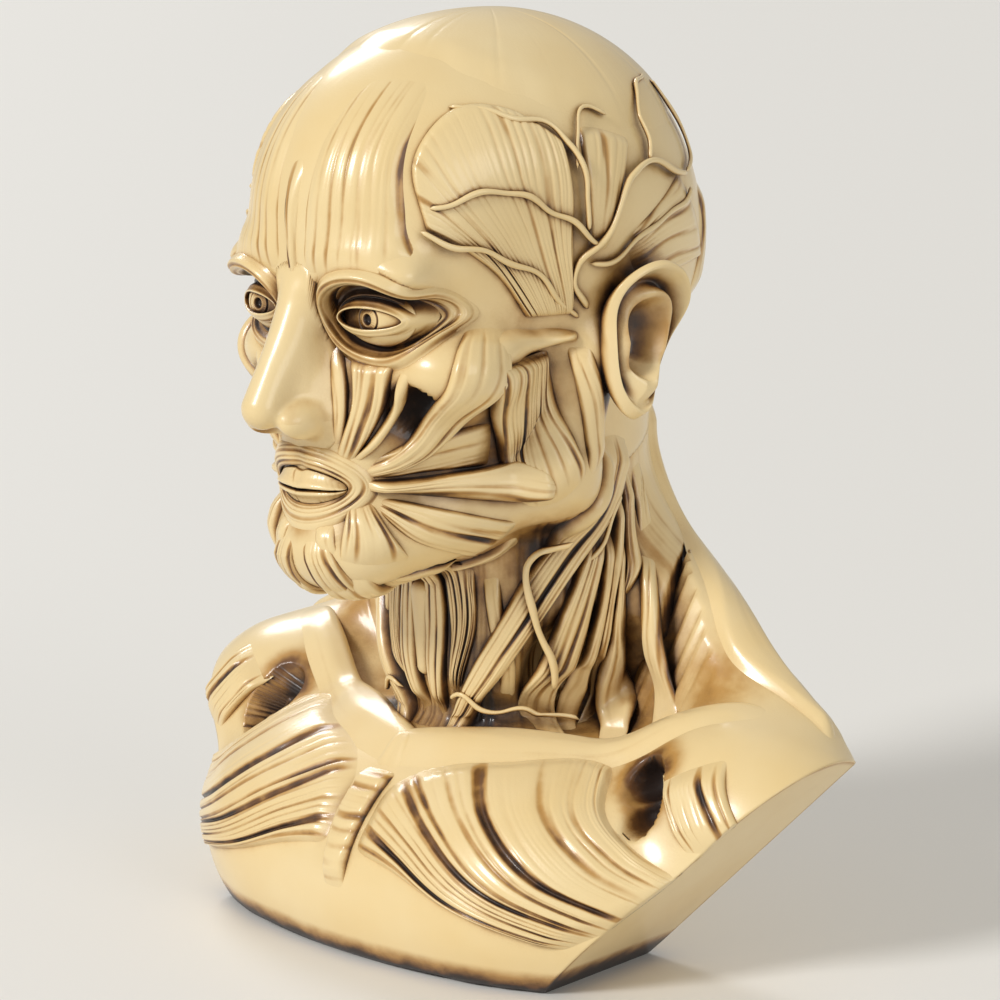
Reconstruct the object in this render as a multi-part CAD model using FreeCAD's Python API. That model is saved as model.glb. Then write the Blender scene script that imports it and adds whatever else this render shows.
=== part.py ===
"""Anatomical head model: a half-size bust that shows the muscles and vessels under the skin.

The frame has +Z up, the face looks along -Y and the model's left side is +X. The origin lies on the
underside, below the middle of the head. Everything grows out of one field, a smooth union of rounded
forms. The cores are cut from that field, and each muscle, vessel and feature is a closed solid that
lies on it. Shares are parts of the driving dimension that they follow.
"""
import FreeCAD, Part
import math
import os

# Driving dimensions, in millimetres
CHIN_HEIGHT = 76.0
HEAD_HEIGHT = 112.0
HEAD_HALF_WIDTH = 38.5
HEAD_HALF_LENGTH = 48.0
NECK_RADIUS = 25.0
NECK_SET_BACK = 12.0
SHOULDER_HALF_WIDTH = 82.0
CHEST_HALF_DEPTH = 40.0

# Muscles and vessels
MUSCLE_HALF_WIDTH = 5.0
MUSCLE_THICKNESS = 2.0
VESSEL_RADIUS = 0.65
SCALP_THICKNESS = 0.9
SEAT_GAP = 0.2
CUT_OVERRUN = 60.0

# Features of the face
EYEBALL_SHARE = 0.0518
EYEBALL_RADIUS = EYEBALL_SHARE * HEAD_HEIGHT
LID_GAP = 0.3
LID_THICKNESS = 0.9
NOSE_TIP_RADIUS = 4.8
LARYNX_RADIUS = 4.2
EAR_HEIGHT_SHARE = 0.286
EAR_HEIGHT = EAR_HEIGHT_SHARE * HEAD_HEIGHT
EAR_WIDTH_SHARE = 0.375
EAR_WIDTH = EAR_WIDTH_SHARE * HEAD_HALF_LENGTH
EAR_STAND_OUT = 9.0

HEAD, NECK, BUST = "head", "neck", "bust"


def place(frame, x, y, z):
    """The point at these shares of the head, the neck or the bust."""
    if frame == HEAD:
        return (x * HEAD_HALF_WIDTH, y * HEAD_HALF_LENGTH, CHIN_HEIGHT + z * HEAD_HEIGHT)
    if frame == NECK:
        return (x * NECK_RADIUS, NECK_SET_BACK + y * NECK_RADIUS, z * CHIN_HEIGHT)
    return (x * SHOULDER_HALF_WIDTH, y * CHEST_HALF_DEPTH, z * CHIN_HEIGHT)


def reach(frame, x, y, z):
    """The three radii at these shares of the head or the bust."""
    if frame == HEAD:
        return (x * HEAD_HALF_WIDTH, y * HEAD_HALF_LENGTH, z * HEAD_HEIGHT)
    return (x * SHOULDER_HALF_WIDTH, y * CHEST_HALF_DEPTH, z * CHIN_HEIGHT)


# Rounded forms: centre, radii, and the blend into the rest as a share of the head's height
HEAD_FORM_SHARES = [
    ((0, 0.10, 0.65), (0.98, 0.93, 0.35), 0.05),
    ((0, -0.26, 0.655), (0.82, 0.76, 0.31), 0.07),
    ((0, 0.42, 0.55), (0.82, 0.60, 0.27), 0.09),
    ((0, -0.34, 0.38), (0.70, 0.58, 0.26), 0.07),
    ((0, -0.66, 0.27), (0.44, 0.32, 0.17), 0.05),
    ((0, -0.80, 0.085), (0.34, 0.20, 0.085), 0.05),
    ((0, -0.42, 0.15), (0.58, 0.46, 0.13), 0.05),
    ((0.60, -0.56, 0.405), (0.26, 0.24, 0.065), 0.07),
    ((0.34, -0.84, 0.575), (0.34, 0.13, 0.04), 0.07),
]
# Tapered bars: two ends, their radii as shares of the frame's half width, and the blend
HEAD_BAR_SHARES = [
    ((0.22, -0.70, 0.085), (0.66, -0.02, 0.185), 0.17, 0.17, 0.07),
    ((0.66, -0.02, 0.185), (0.80, 0.05, 0.42), 0.18, 0.155, 0.07),
]
NECK_BAR_SHARES = [
    ((0, 0.0, 1.47), (0, -0.04, 0.79), 1.0, 1.0, 0.06),
    ((0, 0.40, 1.47), (0, 0.28, 0.72), 0.80, 0.86, 0.07),
]
BUST_FORM_SHARES = [
    ((0, 0.25, 0.16), (0.96, 1.24, 0.46), 0.07),
    ((0.77, 0.35, 0.36), (0.38, 0.60, 0.33), 0.07),
    ((0.34, -0.24, 0.20), (0.34, 0.62, 0.28), 0.07),
    ((0.50, 0.65, 0.34), (0.42, 0.45, 0.35), 0.07),
]
BUST_BAR_SHARES = [((0.10, 0.72, 1.08), (0.79, 0.66, 0.56), 0.15, 0.115, 0.09)]
# Hollows: the temple lies in every surface, and the others only in the cores under the muscles
TEMPLE_HOLLOW_SHARES = ((1.12, -0.52, 0.60), (0.28, 0.42, 0.15), 0.09)
EYE_HOLLOW_SHARES = ((0.415, -1.00, 0.500), (0.31, 0.36, 0.080), 0.027)
CHEEK_HOLLOW_SHARES = ((0.90, -0.54, 0.250), (0.28, 0.34, 0.110), 0.05)
COLLAR_HOLLOW_SHARES = ((0.40, 0.16, 0.72), (0.25, 0.33, 0.17), 0.05)

# Places of the flat cuts
SHOULDER_TIP_SHARES = (1.0, 0.70, 0.59)
BASE_BACK_SHARES = (0.525, 0.20, 0.0)
BASE_FRONT_SHARES = (0.56, -0.45, 0.0)
JAW_CUT_FRONT_SHARES = (0.0, -0.94, -0.01)
JAW_CUT_RISE_SHARE = 0.344
NECK_FOOT_SHARE = 0.60


def rounded_form(frame, centre, radii, blend):
    return (place(frame, *centre), reach(frame, *radii), blend * HEAD_HEIGHT)


def tapered_bar(frame, start, end, start_radius, end_radius, blend):
    size = {HEAD: HEAD_HALF_WIDTH, NECK: NECK_RADIUS, BUST: SHOULDER_HALF_WIDTH}[frame]
    ends = (place(frame, *start), place(frame, *end))
    return (ends, (start_radius * size, end_radius * size), blend * HEAD_HEIGHT)


def rounded_value(form, x, y, z):
    """How far a point lies outside a rounded form: near the true distance close to the form."""
    (cx, cy, cz), (rx, ry, rz), _ = form
    x, y, z = (x - cx) / rx, (y - cy) / ry, (z - cz) / rz
    near = math.sqrt(x * x + y * y + z * z)
    x, y, z = x / rx, y / ry, z / rz
    slope = math.sqrt(x * x + y * y + z * z)
    return near * (near - 1) / slope if slope > 0 else -min(rx, ry, rz)


def bar_value(form, x, y, z):
    """How far a point lies outside a tapered bar."""
    ((ax, ay, az), (bx, by, bz)), (start_radius, end_radius), _ = form
    dx, dy, dz = bx - ax, by - ay, bz - az
    x, y, z = x - ax, y - ay, z - az
    along = max(0, min(1, (x * dx + y * dy + z * dz) / (dx * dx + dy * dy + dz * dz)))
    x, y, z = x - along * dx, y - along * dy, z - along * dz
    return math.sqrt(x * x + y * y + z * z) - start_radius - along * (end_radius - start_radius)


def blend_in(value, other, blend):
    """The smaller of two values, rounded off where they are nearly equal."""
    overlap = blend - abs(value - other)
    least = min(value, other)
    return least - overlap * overlap / (4 * blend) if overlap > 0 else least


def field_of(rounds, bars, hollows=()):
    """A function of a point that is negative inside the forms, and positive outside or in a hollow."""
    def value(point):
        x, y, z = abs(point[0]), point[1], point[2]
        result = None
        for form in rounds:
            own = rounded_value(form, x, y, z)
            result = own if result is None else blend_in(result, own, form[2])
        for form in bars:
            own = bar_value(form, x, y, z)
            result = own if result is None else blend_in(result, own, form[2])
        for form in hollows:
            result = -blend_in(-result, rounded_value(form, x, y, z), form[2])
        return result
    return value


ROUNDS = [rounded_form(HEAD, *f) for f in HEAD_FORM_SHARES]
ROUNDS += [rounded_form(BUST, *f) for f in BUST_FORM_SHARES]
BARS = [tapered_bar(HEAD, *f) for f in HEAD_BAR_SHARES]
BARS += [tapered_bar(NECK, *f) for f in NECK_BAR_SHARES]
BARS += [tapered_bar(BUST, *f) for f in BUST_BAR_SHARES]
TEMPLE = [rounded_form(HEAD, *TEMPLE_HOLLOW_SHARES)]
DEEP_HOLLOWS = [rounded_form(HEAD, *f) for f in (EYE_HOLLOW_SHARES, CHEEK_HOLLOW_SHARES)]
DEEP_HOLLOWS += [rounded_form(BUST, *COLLAR_HOLLOW_SHARES)]
# The muscles lie on the envelope, and the cores have the deep surface, with the hollows under them
envelope = field_of(ROUNDS, BARS, TEMPLE)
deep_surface = field_of(ROUNDS, BARS, TEMPLE + DEEP_HOLLOWS)
bust_surface = field_of(ROUNDS[len(HEAD_FORM_SHARES):], BARS[-len(BUST_BAR_SHARES):], DEEP_HOLLOWS[-1:])


def add(a, b, scale=1):
    return (a[0] + scale * b[0], a[1] + scale * b[1], a[2] + scale * b[2])


def minus(a, b):
    return (a[0] - b[0], a[1] - b[1], a[2] - b[2])


def dot(a, b):
    return a[0] * b[0] + a[1] * b[1] + a[2] * b[2]


def cross(a, b):
    return (a[1] * b[2] - a[2] * b[1], a[2] * b[0] - a[0] * b[2], a[0] * b[1] - a[1] * b[0])


def unit(a):
    size = math.sqrt(dot(a, a))
    return (a[0] / size, a[1] / size, a[2] / size)


def mix(a, b, share):
    return tuple(p + share * (q - p) for p, q in zip(a, b))


SLOPE_STEP = SEAT_GAP / 4
SEARCH_ROUNDS = 6
CAST_STEPS = 24
CAST_HALVINGS = 12


def settle(field, point):
    """The nearest place on the field's surface, and the direction that points out of it there."""
    for _ in range(SEARCH_ROUNDS):
        here = field(point)
        slope = [
            (field(add(point, axis, SLOPE_STEP)) - here) / SLOPE_STEP
            for axis in ((1, 0, 0), (0, 1, 0), (0, 0, 1))
        ]
        point = add(point, slope, -here / dot(slope, slope))
    return point, unit(slope)


def cast(field, origin, way, longest):
    """The place where the body ends along a way out from a point inside it."""
    low, high = 0.0, longest
    for step in range(1, CAST_STEPS + 1):
        far = longest * step / CAST_STEPS
        if field(add(origin, way, far)) > 0:
            high = far
            break
        low = far
    for _ in range(CAST_HALVINGS):
        middle = (low + high) / 2
        if field(add(origin, way, middle)) > 0:
            high = middle
        else:
            low = middle
    return add(origin, way, (low + high) / 2)


# How far a smooth surface draws in from a control point, as a share of its offset from its neighbours
DRAW_IN_SHARE = 1 / 3
PUSH_ROUNDS = 2


def pushed(places, movable):
    """Control points set out along a row, so that the smooth surface runs near its places."""
    points = list(places)
    for _ in range(PUSH_ROUNDS):
        before = list(points)
        for k in movable:
            middle = mix(before[k - 1], before[(k + 1) % len(before)], 1 / 2)
            reached = mix(before[k], middle, DRAW_IN_SHARE)
            points[k] = add(before[k], minus(places[k], reached))
    return points


def net_solid(rings, loop=False):
    """A closed smooth solid through rings of places, which end at single points or form a loop."""
    rows = [pushed(ring, range(len(ring))) for ring in rings]
    movable = range(len(rows)) if loop else range(2, len(rows) - 2)
    rows = list(zip(*[pushed(line, movable) for line in zip(*rows)]))
    count, around = len(rows), len(rows[0])
    if loop:
        along_knots, along_turns = list(range(count + 1)), [1] * (count + 1)
    else:
        along_knots, along_turns = list(range(count - 2)), [4] + [1] * (count - 4) + [4]
    around_knots, around_turns = list(range(around + 1)), [1] * (around + 1)
    poles = [[FreeCAD.Vector(*p) for p in row] for row in rows]
    surface = Part.BSplineSurface()
    surface.buildFromPolesMultsKnots(
        poles, along_turns, around_turns, along_knots, around_knots, loop, True, 3, 3
    )
    face = surface.toShape()
    if loop or (rows[0][0] == rows[0][1] and rows[-1][0] == rows[-1][1]):
        shell = Part.Shell([face])
    else:
        rims = [e for e in face.Edges if e.Closed and e.Length > SEAT_GAP]
        shell = Part.Shell([face] + [Part.Face(Part.Wire([e])) for e in rims])
        shell.sewShape()
    solid = Part.Solid(shell)
    if solid.Volume < 0:
        solid.reverse()
    return solid


def smooth_route(stations, pieces):
    """Rows of values on a smooth line through all stations, with a number of pieces between two."""
    ends = [stations[0]] + stations + [stations[-1]]
    route = []
    for k in range(1, len(ends) - 2):
        for step in range(pieces):
            t = step / pieces
            row = []
            for before, here, after, beyond in zip(ends[k - 1], ends[k], ends[k + 1], ends[k + 2]):
                bend = 2 * before - 5 * here + 4 * after - beyond
                twist = 3 * (here - after) + beyond - before
                row.append(here + (t * (after - before) + t * t * bend + t ** 3 * twist) / 2)
            route.append(row)
    route.append(list(stations[-1]))
    return route


# A strap's section, over the top and back underneath: across and height as shares
SECTION_SHARES = [
    (-1.04, 0.55), (-0.80, 1.0), (-0.30, 1.10), (0.30, 1.10), (0.80, 1.0), (1.04, 0.55),
    (0.98, 0.0), (0.45, 0.0), (-0.45, 0.0), (-0.98, 0.0),
]
# The rings next to a strap's tip: how far along to the next station, and how wide and thick
TIP_SHARES = [(0.0, 0.62), (0.35, 0.90)]
TIP_HEIGHT_SHARE = 0.5


def section_ring(field, centre, across, half_width, thickness, lift):
    """One ring round a strap, seated on the field."""
    ring = []
    for side_share, height_share in SECTION_SHARES:
        foot, out = settle(field, add(centre, across, side_share * half_width))
        ring.append(add(foot, out, SEAT_GAP + lift + height_share * thickness))
    return ring


def strap(stations, field=envelope, pieces=2):
    """A muscle strap on the field. A station has a frame, a place, half width, thickness and lift."""
    settled = []
    for frame, x, y, z, half_width, thickness, lift in stations:
        sizes = [half_width * MUSCLE_HALF_WIDTH, thickness * MUSCLE_THICKNESS, lift * MUSCLE_THICKNESS]
        settled.append(list(settle(field, place(frame, x, y, z))[0]) + sizes)
    route = smooth_route(settled, pieces)
    last = len(route) - 1
    rows = []
    for k, station in enumerate(route):
        point, out = settle(field, tuple(station[:3]))
        ahead = minus(route[min(k + 1, last)], route[max(k - 1, 0)])
        across = unit(cross(unit(ahead), out))
        half_width, thickness, lift = station[3:]
        if 0 < k < last:
            rows.append(section_ring(field, point, across, half_width, thickness, lift))
            continue
        inner = route[1] if k == 0 else route[last - 1]
        blunt = []
        for inset_share, size_share in TIP_SHARES:
            centre = mix(station[:3], inner[:3], inset_share)
            sizes = (size_share * half_width, size_share * thickness, lift)
            blunt.append(section_ring(field, centre, across, *sizes))
        tip = add(point, out, SEAT_GAP + lift + TIP_HEIGHT_SHARE * thickness)
        single = [[tip] * len(SECTION_SHARES)]
        rows += single + blunt if k == 0 else blunt[::-1] + single
    return net_solid(rows)


def vessel(stations):
    """A vessel of one radius. A station has a frame, a place and a lift."""
    width, thickness = VESSEL_RADIUS / MUSCLE_HALF_WIDTH, 2 * VESSEL_RADIUS / MUSCLE_THICKNESS
    return strap([(*s[:4], width, thickness, s[4]) for s in stations])


FAN_EDGE_SHARE = 0.5
FAN_SIDES = 6


def fan_ring(start, end, thickness):
    """One ring round a fan, over the top from rail to rail and back underneath."""
    over, under = [], []
    for side in range(FAN_SIDES):
        foot, out = settle(envelope, mix(start, end, side / (FAN_SIDES - 1)))
        height_share = FAN_EDGE_SHARE if side in (0, FAN_SIDES - 1) else 1
        over.append(add(foot, out, SEAT_GAP + height_share * thickness))
        under.append(add(foot, out, SEAT_GAP))
    return over + under[::-1]


def fan(first_rail, second_rail, thickness_share, pieces=2):
    """A sheet of muscle between two rails, which carry its first and its last fibre."""
    thickness = thickness_share * MUSCLE_THICKNESS
    first, second = [
        smooth_route([list(settle(envelope, place(*p))[0]) for p in rail], pieces)
        for rail in (first_rail, second_rail)
    ]
    last = len(first) - 1
    rows = []
    for k in range(last + 1):
        if 0 < k < last:
            rows.append(fan_ring(first[k], second[k], thickness))
            continue
        inner = 1 if k == 0 else last - 1
        blunt = []
        for inset_share, size_share in TIP_SHARES:
            start = mix(first[k], first[inner], inset_share)
            end = mix(second[k], second[inner], inset_share)
            blunt.append(fan_ring(start, end, size_share * thickness))
        foot, out = settle(envelope, mix(first[k], second[k], TIP_HEIGHT_SHARE))
        single = [[add(foot, out, SEAT_GAP + TIP_HEIGHT_SHARE * thickness)] * (2 * FAN_SIDES)]
        rows += single + blunt if k == 0 else blunt[::-1] + single
    return net_solid(rows)


RING_COUNT = 20


def ring_muscle(centre, inner, outer, thickness_share):
    """A ring of muscle round an opening of the face, with inner and outer half width and height."""
    rows = []
    for k in range(RING_COUNT):
        angle = 2 * math.pi * k / RING_COUNT
        row = []
        for side_share, height_share in SECTION_SHARES:
            wide = mix(inner, outer, (1 + side_share) / 2)
            x, z = centre[0] + wide[0] * math.cos(angle), centre[1] + wide[1] * math.sin(angle)
            front = cast(envelope, place(HEAD, x, 0, z), (0, -1, 0), 2 * HEAD_HALF_LENGTH)
            foot, out = settle(envelope, front)
            row.append(add(foot, out, SEAT_GAP + height_share * thickness_share * MUSCLE_THICKNESS))
        rows.append(row)
    return net_solid(rows, loop=True)


def star_rows(field, centre, count, around, longest):
    """Rings of places on a body's surface, seen from a centre inside, from below to above."""
    rows = []
    for k in range(count + 1):
        tilt = math.pi * (k / count - 1 / 2)
        flat = math.cos(tilt) if 0 < k < count else 0
        row = []
        for j in range(around):
            angle = 2 * math.pi * j / around
            way = (flat * math.sin(angle), flat * math.cos(angle), math.sin(tilt))
            row.append(cast(field, centre, way, longest))
        rows.append(row)
    return rows


def mirrored(solid):
    return solid.mirror(FreeCAD.Vector(0, 0, 0), FreeCAD.Vector(1, 0, 0))


def half_space(point, outward):
    """A block that holds everything beyond a plane, as far as a cut has to reach."""
    size = 2 * SHOULDER_HALF_WIDTH + CHIN_HEIGHT + HEAD_HEIGHT + CUT_OVERRUN
    block = Part.makeBox(size, size, size, FreeCAD.Vector(-size / 2, -size / 2, 0))
    turn = FreeCAD.Rotation(FreeCAD.Vector(0, 0, 1), FreeCAD.Vector(*outward))
    block.Placement = FreeCAD.Placement(FreeCAD.Vector(*point), turn).multiply(block.Placement)
    return block


def largest(shape):
    return Part.Solid(max(shape.Solids, key=lambda s: s.Volume))


def arm_blocks():
    """What lies beyond the flat arm cuts, through a shoulder tip and two corners of the base."""
    tip, back, front = (
        place(BUST, *s) for s in (SHOULDER_TIP_SHARES, BASE_BACK_SHARES, BASE_FRONT_SHARES)
    )
    outward = unit(cross(minus(front, tip), minus(back, tip)))
    left = half_space(tip, outward)
    return [left, half_space((-tip[0], tip[1], tip[2]), (-outward[0], outward[1], outward[2]))]


def back_block():
    """What lies beyond the flat back, through both shoulder tips and the back of the base."""
    tip, back = place(BUST, *SHOULDER_TIP_SHARES), place(BUST, *BASE_BACK_SHARES)
    return half_space(back, unit((0, tip[2] - back[2], back[1] - tip[1])))


def base_block():
    return half_space((0, 0, 0), (0, 0, -1))


def trimmed(solid, blocks):
    for block in blocks:
        solid = largest(solid.cut(block))
    return solid


AROUND_HEAD = 44
HEAD_ROW_SHARES = [0.0, 0.05, 0.10, 0.15, 0.20, 0.25, 0.30, 0.34, 0.38, 0.42, 0.46, 0.50]
HEAD_ROW_SHARES += [0.54, 0.60, 0.66, 0.72, 0.78, 0.84, 0.89, 0.93, 0.96, 0.985]
CROWN_AXIS_SHARES = (0.0, 0.14, 0.50)


def jaw_plane():
    """A place on the flat joint under the jaw, and the direction that points up from it."""
    return place(HEAD, *JAW_CUT_FRONT_SHARES), unit((0, -JAW_CUT_RISE_SHARE, 1))


def head_core():
    """The skull and jaw under the muscles, from the joint under the jaw up to the crown."""
    low, up = jaw_plane()
    through = place(HEAD, *CROWN_AXIS_SHARES)
    foot = add(through, up, -dot(minus(through, low), up))
    crown = cast(deep_surface, through, up, HEAD_HEIGHT)
    ahead = unit(cross(up, (1, 0, 0)))
    rows = []
    for share in HEAD_ROW_SHARES:
        centre = mix(foot, crown, share)
        row = []
        for k in range(AROUND_HEAD):
            angle = 2 * math.pi * k / AROUND_HEAD
            way = add(add((0, 0, 0), ahead, math.cos(angle)), (1, 0, 0), math.sin(angle))
            row.append(cast(deep_surface, centre, way, 2 * HEAD_HALF_LENGTH))
        rows.append(row)
    rows.append([crown] * AROUND_HEAD)
    return net_solid(rows)


AROUND_NECK = 56
NECK_ROW_SHARES = [0.0, 0.12, 0.24, 0.36, 0.48, 0.60, 0.70, 0.78, 0.84, 0.89, 0.93, 0.965, 1.0]
NECK_JOINT_SHARE = 0.56


def neck_core():
    """The neck with the slopes of its shoulders, from its flat foot up to the joint under the jaw."""
    low, up = jaw_plane()
    foot = NECK_FOOT_SHARE * CHIN_HEIGHT
    top = low[2] + (NECK_SET_BACK - low[1]) * JAW_CUT_RISE_SHARE - SEAT_GAP
    rows = []
    for share in NECK_ROW_SHARES:
        centre = (0, NECK_SET_BACK, foot + share * (top - foot))
        slope = share * share * JAW_CUT_RISE_SHARE
        row = []
        for j in range(AROUND_NECK):
            angle = 2 * math.pi * j / AROUND_NECK
            way = (math.sin(angle), math.cos(angle), math.cos(angle) * slope)
            row.append(cast(deep_surface, centre, way, SHOULDER_HALF_WIDTH))
        rows.append(row)
    side = (NECK_JOINT_SHARE * SHOULDER_HALF_WIDTH, 0, 0)
    blocks = [back_block(), half_space(side, (1, 0, 0)), half_space(add((0, 0, 0), side, -1), (-1, 0, 0))]
    return trimmed(net_solid(rows), blocks)


AROUND_BUST = 40
BUST_ROWS = 44
BUST_REACH_SHARE = 1.14
BUST_AXIS_SHARES = (0.35, 0.37)


def chest_block():
    """The chest and shoulders, cut flat at the base, the back, both arms and the neck's foot."""
    rows = []
    for k in range(BUST_ROWS + 1):
        centre = place(BUST, BUST_REACH_SHARE * (2 * k / BUST_ROWS - 1), *BUST_AXIS_SHARES)
        row = []
        for j in range(AROUND_BUST):
            angle = 2 * math.pi * j / AROUND_BUST
            way = (0, math.sin(angle), math.cos(angle))
            row.append(cast(bust_surface, centre, way, SHOULDER_HALF_WIDTH))
        rows.append(row if 0 < k < BUST_ROWS else [centre] * AROUND_BUST)
    half = NECK_JOINT_SHARE * SHOULDER_HALF_WIDTH
    tall = HEAD_HEIGHT + CUT_OVERRUN
    corner = FreeCAD.Vector(-half, -tall, NECK_FOOT_SHARE * CHIN_HEIGHT)
    socket = Part.makeBox(2 * half, 2 * tall, tall, corner)
    return trimmed(net_solid(rows), arm_blocks() + [back_block(), base_block(), socket])


# Muscles that are mirrored, in nodes of their own: each holds one or more straps of stations
PAIRED_STRAP_SHARES = {
    "frontalis": [[
        (HEAD, 0.38, -0.96, 0.600, 1.9, 0.6, 0.1),
        (HEAD, 0.42, -0.92, 0.68, 2.1, 0.6, 0.1),
        (HEAD, 0.45, -0.78, 0.78, 1.9, 0.6, 0.1),
        (HEAD, 0.43, -0.62, 0.85, 1.3, 0.5, 0.1),
    ]],
    "cheek_arch": [[
        (HEAD, 0.77, -0.62, 0.425, 0.55, 1.2, 0),
        (HEAD, 0.88, -0.42, 0.440, 0.55, 1.2, 0),
        (HEAD, 0.96, -0.18, 0.450, 0.40, 1.0, 0),
        (HEAD, 1.00, -0.08, 0.455, 0.30, 0.8, 0),
    ]],
    "masseter": [
        [
            (HEAD, 0.82, -0.50, 0.375, 1.15, 1.2, 0),
            (HEAD, 0.86, -0.38, 0.32, 1.35, 1.3, 0),
            (HEAD, 0.83, -0.23, 0.23, 1.35, 1.3, 0),
            (HEAD, 0.75, -0.12, 0.16, 1.0, 0.9, 0),
        ],
        [
            (HEAD, 0.91, -0.24, 0.385, 0.6, 1.0, 0),
            (HEAD, 0.92, -0.11, 0.32, 0.6, 1.0, 0),
            (HEAD, 0.87, 0.02, 0.25, 0.5, 0.8, 0),
        ],
    ],
    "levators": [
        [
            (HEAD, 0.22, -0.98, 0.400, 0.30, 0.7, 0),
            (HEAD, 0.265, -0.98, 0.345, 0.30, 0.7, 0),
            (HEAD, 0.25, -1.00, 0.300, 0.25, 0.6, 0),
        ],
        [
            (HEAD, 0.44, -0.88, 0.400, 0.70, 0.8, 0),
            (HEAD, 0.40, -0.92, 0.35, 0.55, 0.8, 0),
            (HEAD, 0.335, -0.97, 0.290, 0.35, 0.6, 0),
        ],
    ],
    "zygomaticus": [
        [
            (HEAD, 0.77, -0.66, 0.380, 0.52, 1.0, 0.5),
            (HEAD, 0.65, -0.79, 0.31, 0.48, 1.0, 0.5),
            (HEAD, 0.52, -0.88, 0.247, 0.40, 0.9, 0.4),
            (HEAD, 0.45, -0.92, 0.220, 0.26, 0.7, 0.3),
        ],
        [
            (HEAD, 0.64, -0.78, 0.395, 0.34, 0.8, 0),
            (HEAD, 0.56, -0.84, 0.345, 0.34, 0.8, 0),
            (HEAD, 0.46, -0.90, 0.297, 0.30, 0.7, 0),
            (HEAD, 0.41, -0.94, 0.272, 0.22, 0.6, 0),
        ],
    ],
    "risorius": [[
        (HEAD, 0.46, -0.91, 0.180, 0.32, 0.8, 0.3),
        (HEAD, 0.57, -0.81, 0.183, 0.40, 0.9, 0.5),
        (HEAD, 0.75, -0.58, 0.195, 0.56, 1.0, 1.45),
        (HEAD, 0.83, -0.33, 0.200, 0.64, 1.1, 1.55),
    ]],
    "chin_depressors": [
        [
            (HEAD, 0.41, -0.93, 0.160, 0.32, 0.8, 0),
            (HEAD, 0.42, -0.90, 0.12, 0.60, 0.8, 0),
            (HEAD, 0.42, -0.86, 0.055, 0.85, 0.6, 0),
        ],
        [
            (HEAD, 0.18, -0.95, 0.100, 0.45, 0.7, 0),
            (HEAD, 0.21, -0.93, 0.075, 0.45, 0.7, 0),
            (HEAD, 0.23, -0.90, 0.045, 0.40, 0.6, 0),
        ],
        [
            (HEAD, 0.52, -0.82, 0.155, 0.25, 0.6, 0),
            (HEAD, 0.58, -0.75, 0.10, 0.30, 0.6, 0),
            (HEAD, 0.62, -0.66, 0.05, 0.20, 0.5, 0),
        ],
    ],
    "digastric": [[
        (HEAD, 0.20, -0.80, 0.010, 0.55, 1.0, 0),
        (HEAD, 0.36, -0.62, 0.030, 0.65, 1.2, 0),
        (HEAD, 0.54, -0.32, 0.090, 0.55, 1.2, 0),
        (HEAD, 0.68, -0.10, 0.130, 0.50, 1.0, 0),
    ]],
    "throat_straps": [
        [
            (NECK, 0.28, -1.02, 0.97, 0.45, 1.0, 0),
            (NECK, 0.28, -1.05, 0.82, 0.50, 1.1, 0),
            (NECK, 0.22, -1.10, 0.66, 0.50, 1.0, 0),
        ],
        [
            (NECK, 0.50, -0.92, 1.00, 0.30, 0.8, 0),
            (NECK, 0.50, -0.93, 0.94, 0.34, 0.9, 0),
            (NECK, 0.52, -0.92, 0.88, 0.28, 0.8, 0),
        ],
    ],
    "sternomastoid": [
        [
            (HEAD, 0.88, 0.17, 0.26, 0.90, 1.5, 0.1),
            (NECK, 1.20, -0.42, 1.16, 1.15, 1.8, 0.1),
            (NECK, 0.86, -0.80, 0.90, 1.00, 1.8, 0.1),
            (NECK, 0.50, -1.04, 0.70, 0.65, 1.6, 0.1),
            (NECK, 0.20, -1.22, 0.56, 0.36, 1.2, 0.1),
        ],
        [
            (NECK, 1.04, -0.42, 0.93, 0.65, 1.2, 0),
            (NECK, 0.98, -0.58, 0.78, 0.75, 1.2, 0),
            (NECK, 0.84, -0.74, 0.63, 0.70, 1.0, 0),
        ],
    ],
    "side_neck": [
        [
            (NECK, 1.00, 0.38, 1.22, 0.60, 1.0, 0),
            (NECK, 1.02, 0.46, 1.08, 0.62, 1.0, 0),
            (NECK, 1.06, 0.48, 0.97, 0.45, 0.9, 0),
        ],
        [
            (NECK, 1.02, 0.06, 1.16, 0.55, 1.0, 0),
            (NECK, 1.02, 0.13, 1.00, 0.65, 1.1, 0),
            (NECK, 1.08, 0.24, 0.82, 0.55, 0.9, 0.15),
        ],
        [
            (NECK, 1.04, -0.10, 0.90, 0.50, 1.0, 0),
            (NECK, 1.06, -0.14, 0.76, 0.55, 1.0, 0.1),
            (NECK, 1.08, -0.20, 0.66, 0.45, 0.8, 0.15),
        ],
    ],
}
CLAVICLE_SHARES = [
    (BUST, 0.06, -0.50, 0.51, 0.52, 1.6, 0),
    (BUST, 0.24, -0.33, 0.54, 0.48, 1.7, 0),
    (BUST, 0.49, -0.08, 0.57, 0.50, 1.7, 0),
    (BUST, 0.71, 0.20, 0.67, 0.58, 1.6, 0),
    (BUST, 0.86, 0.50, 0.71, 0.60, 1.4, 0),
]
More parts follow.
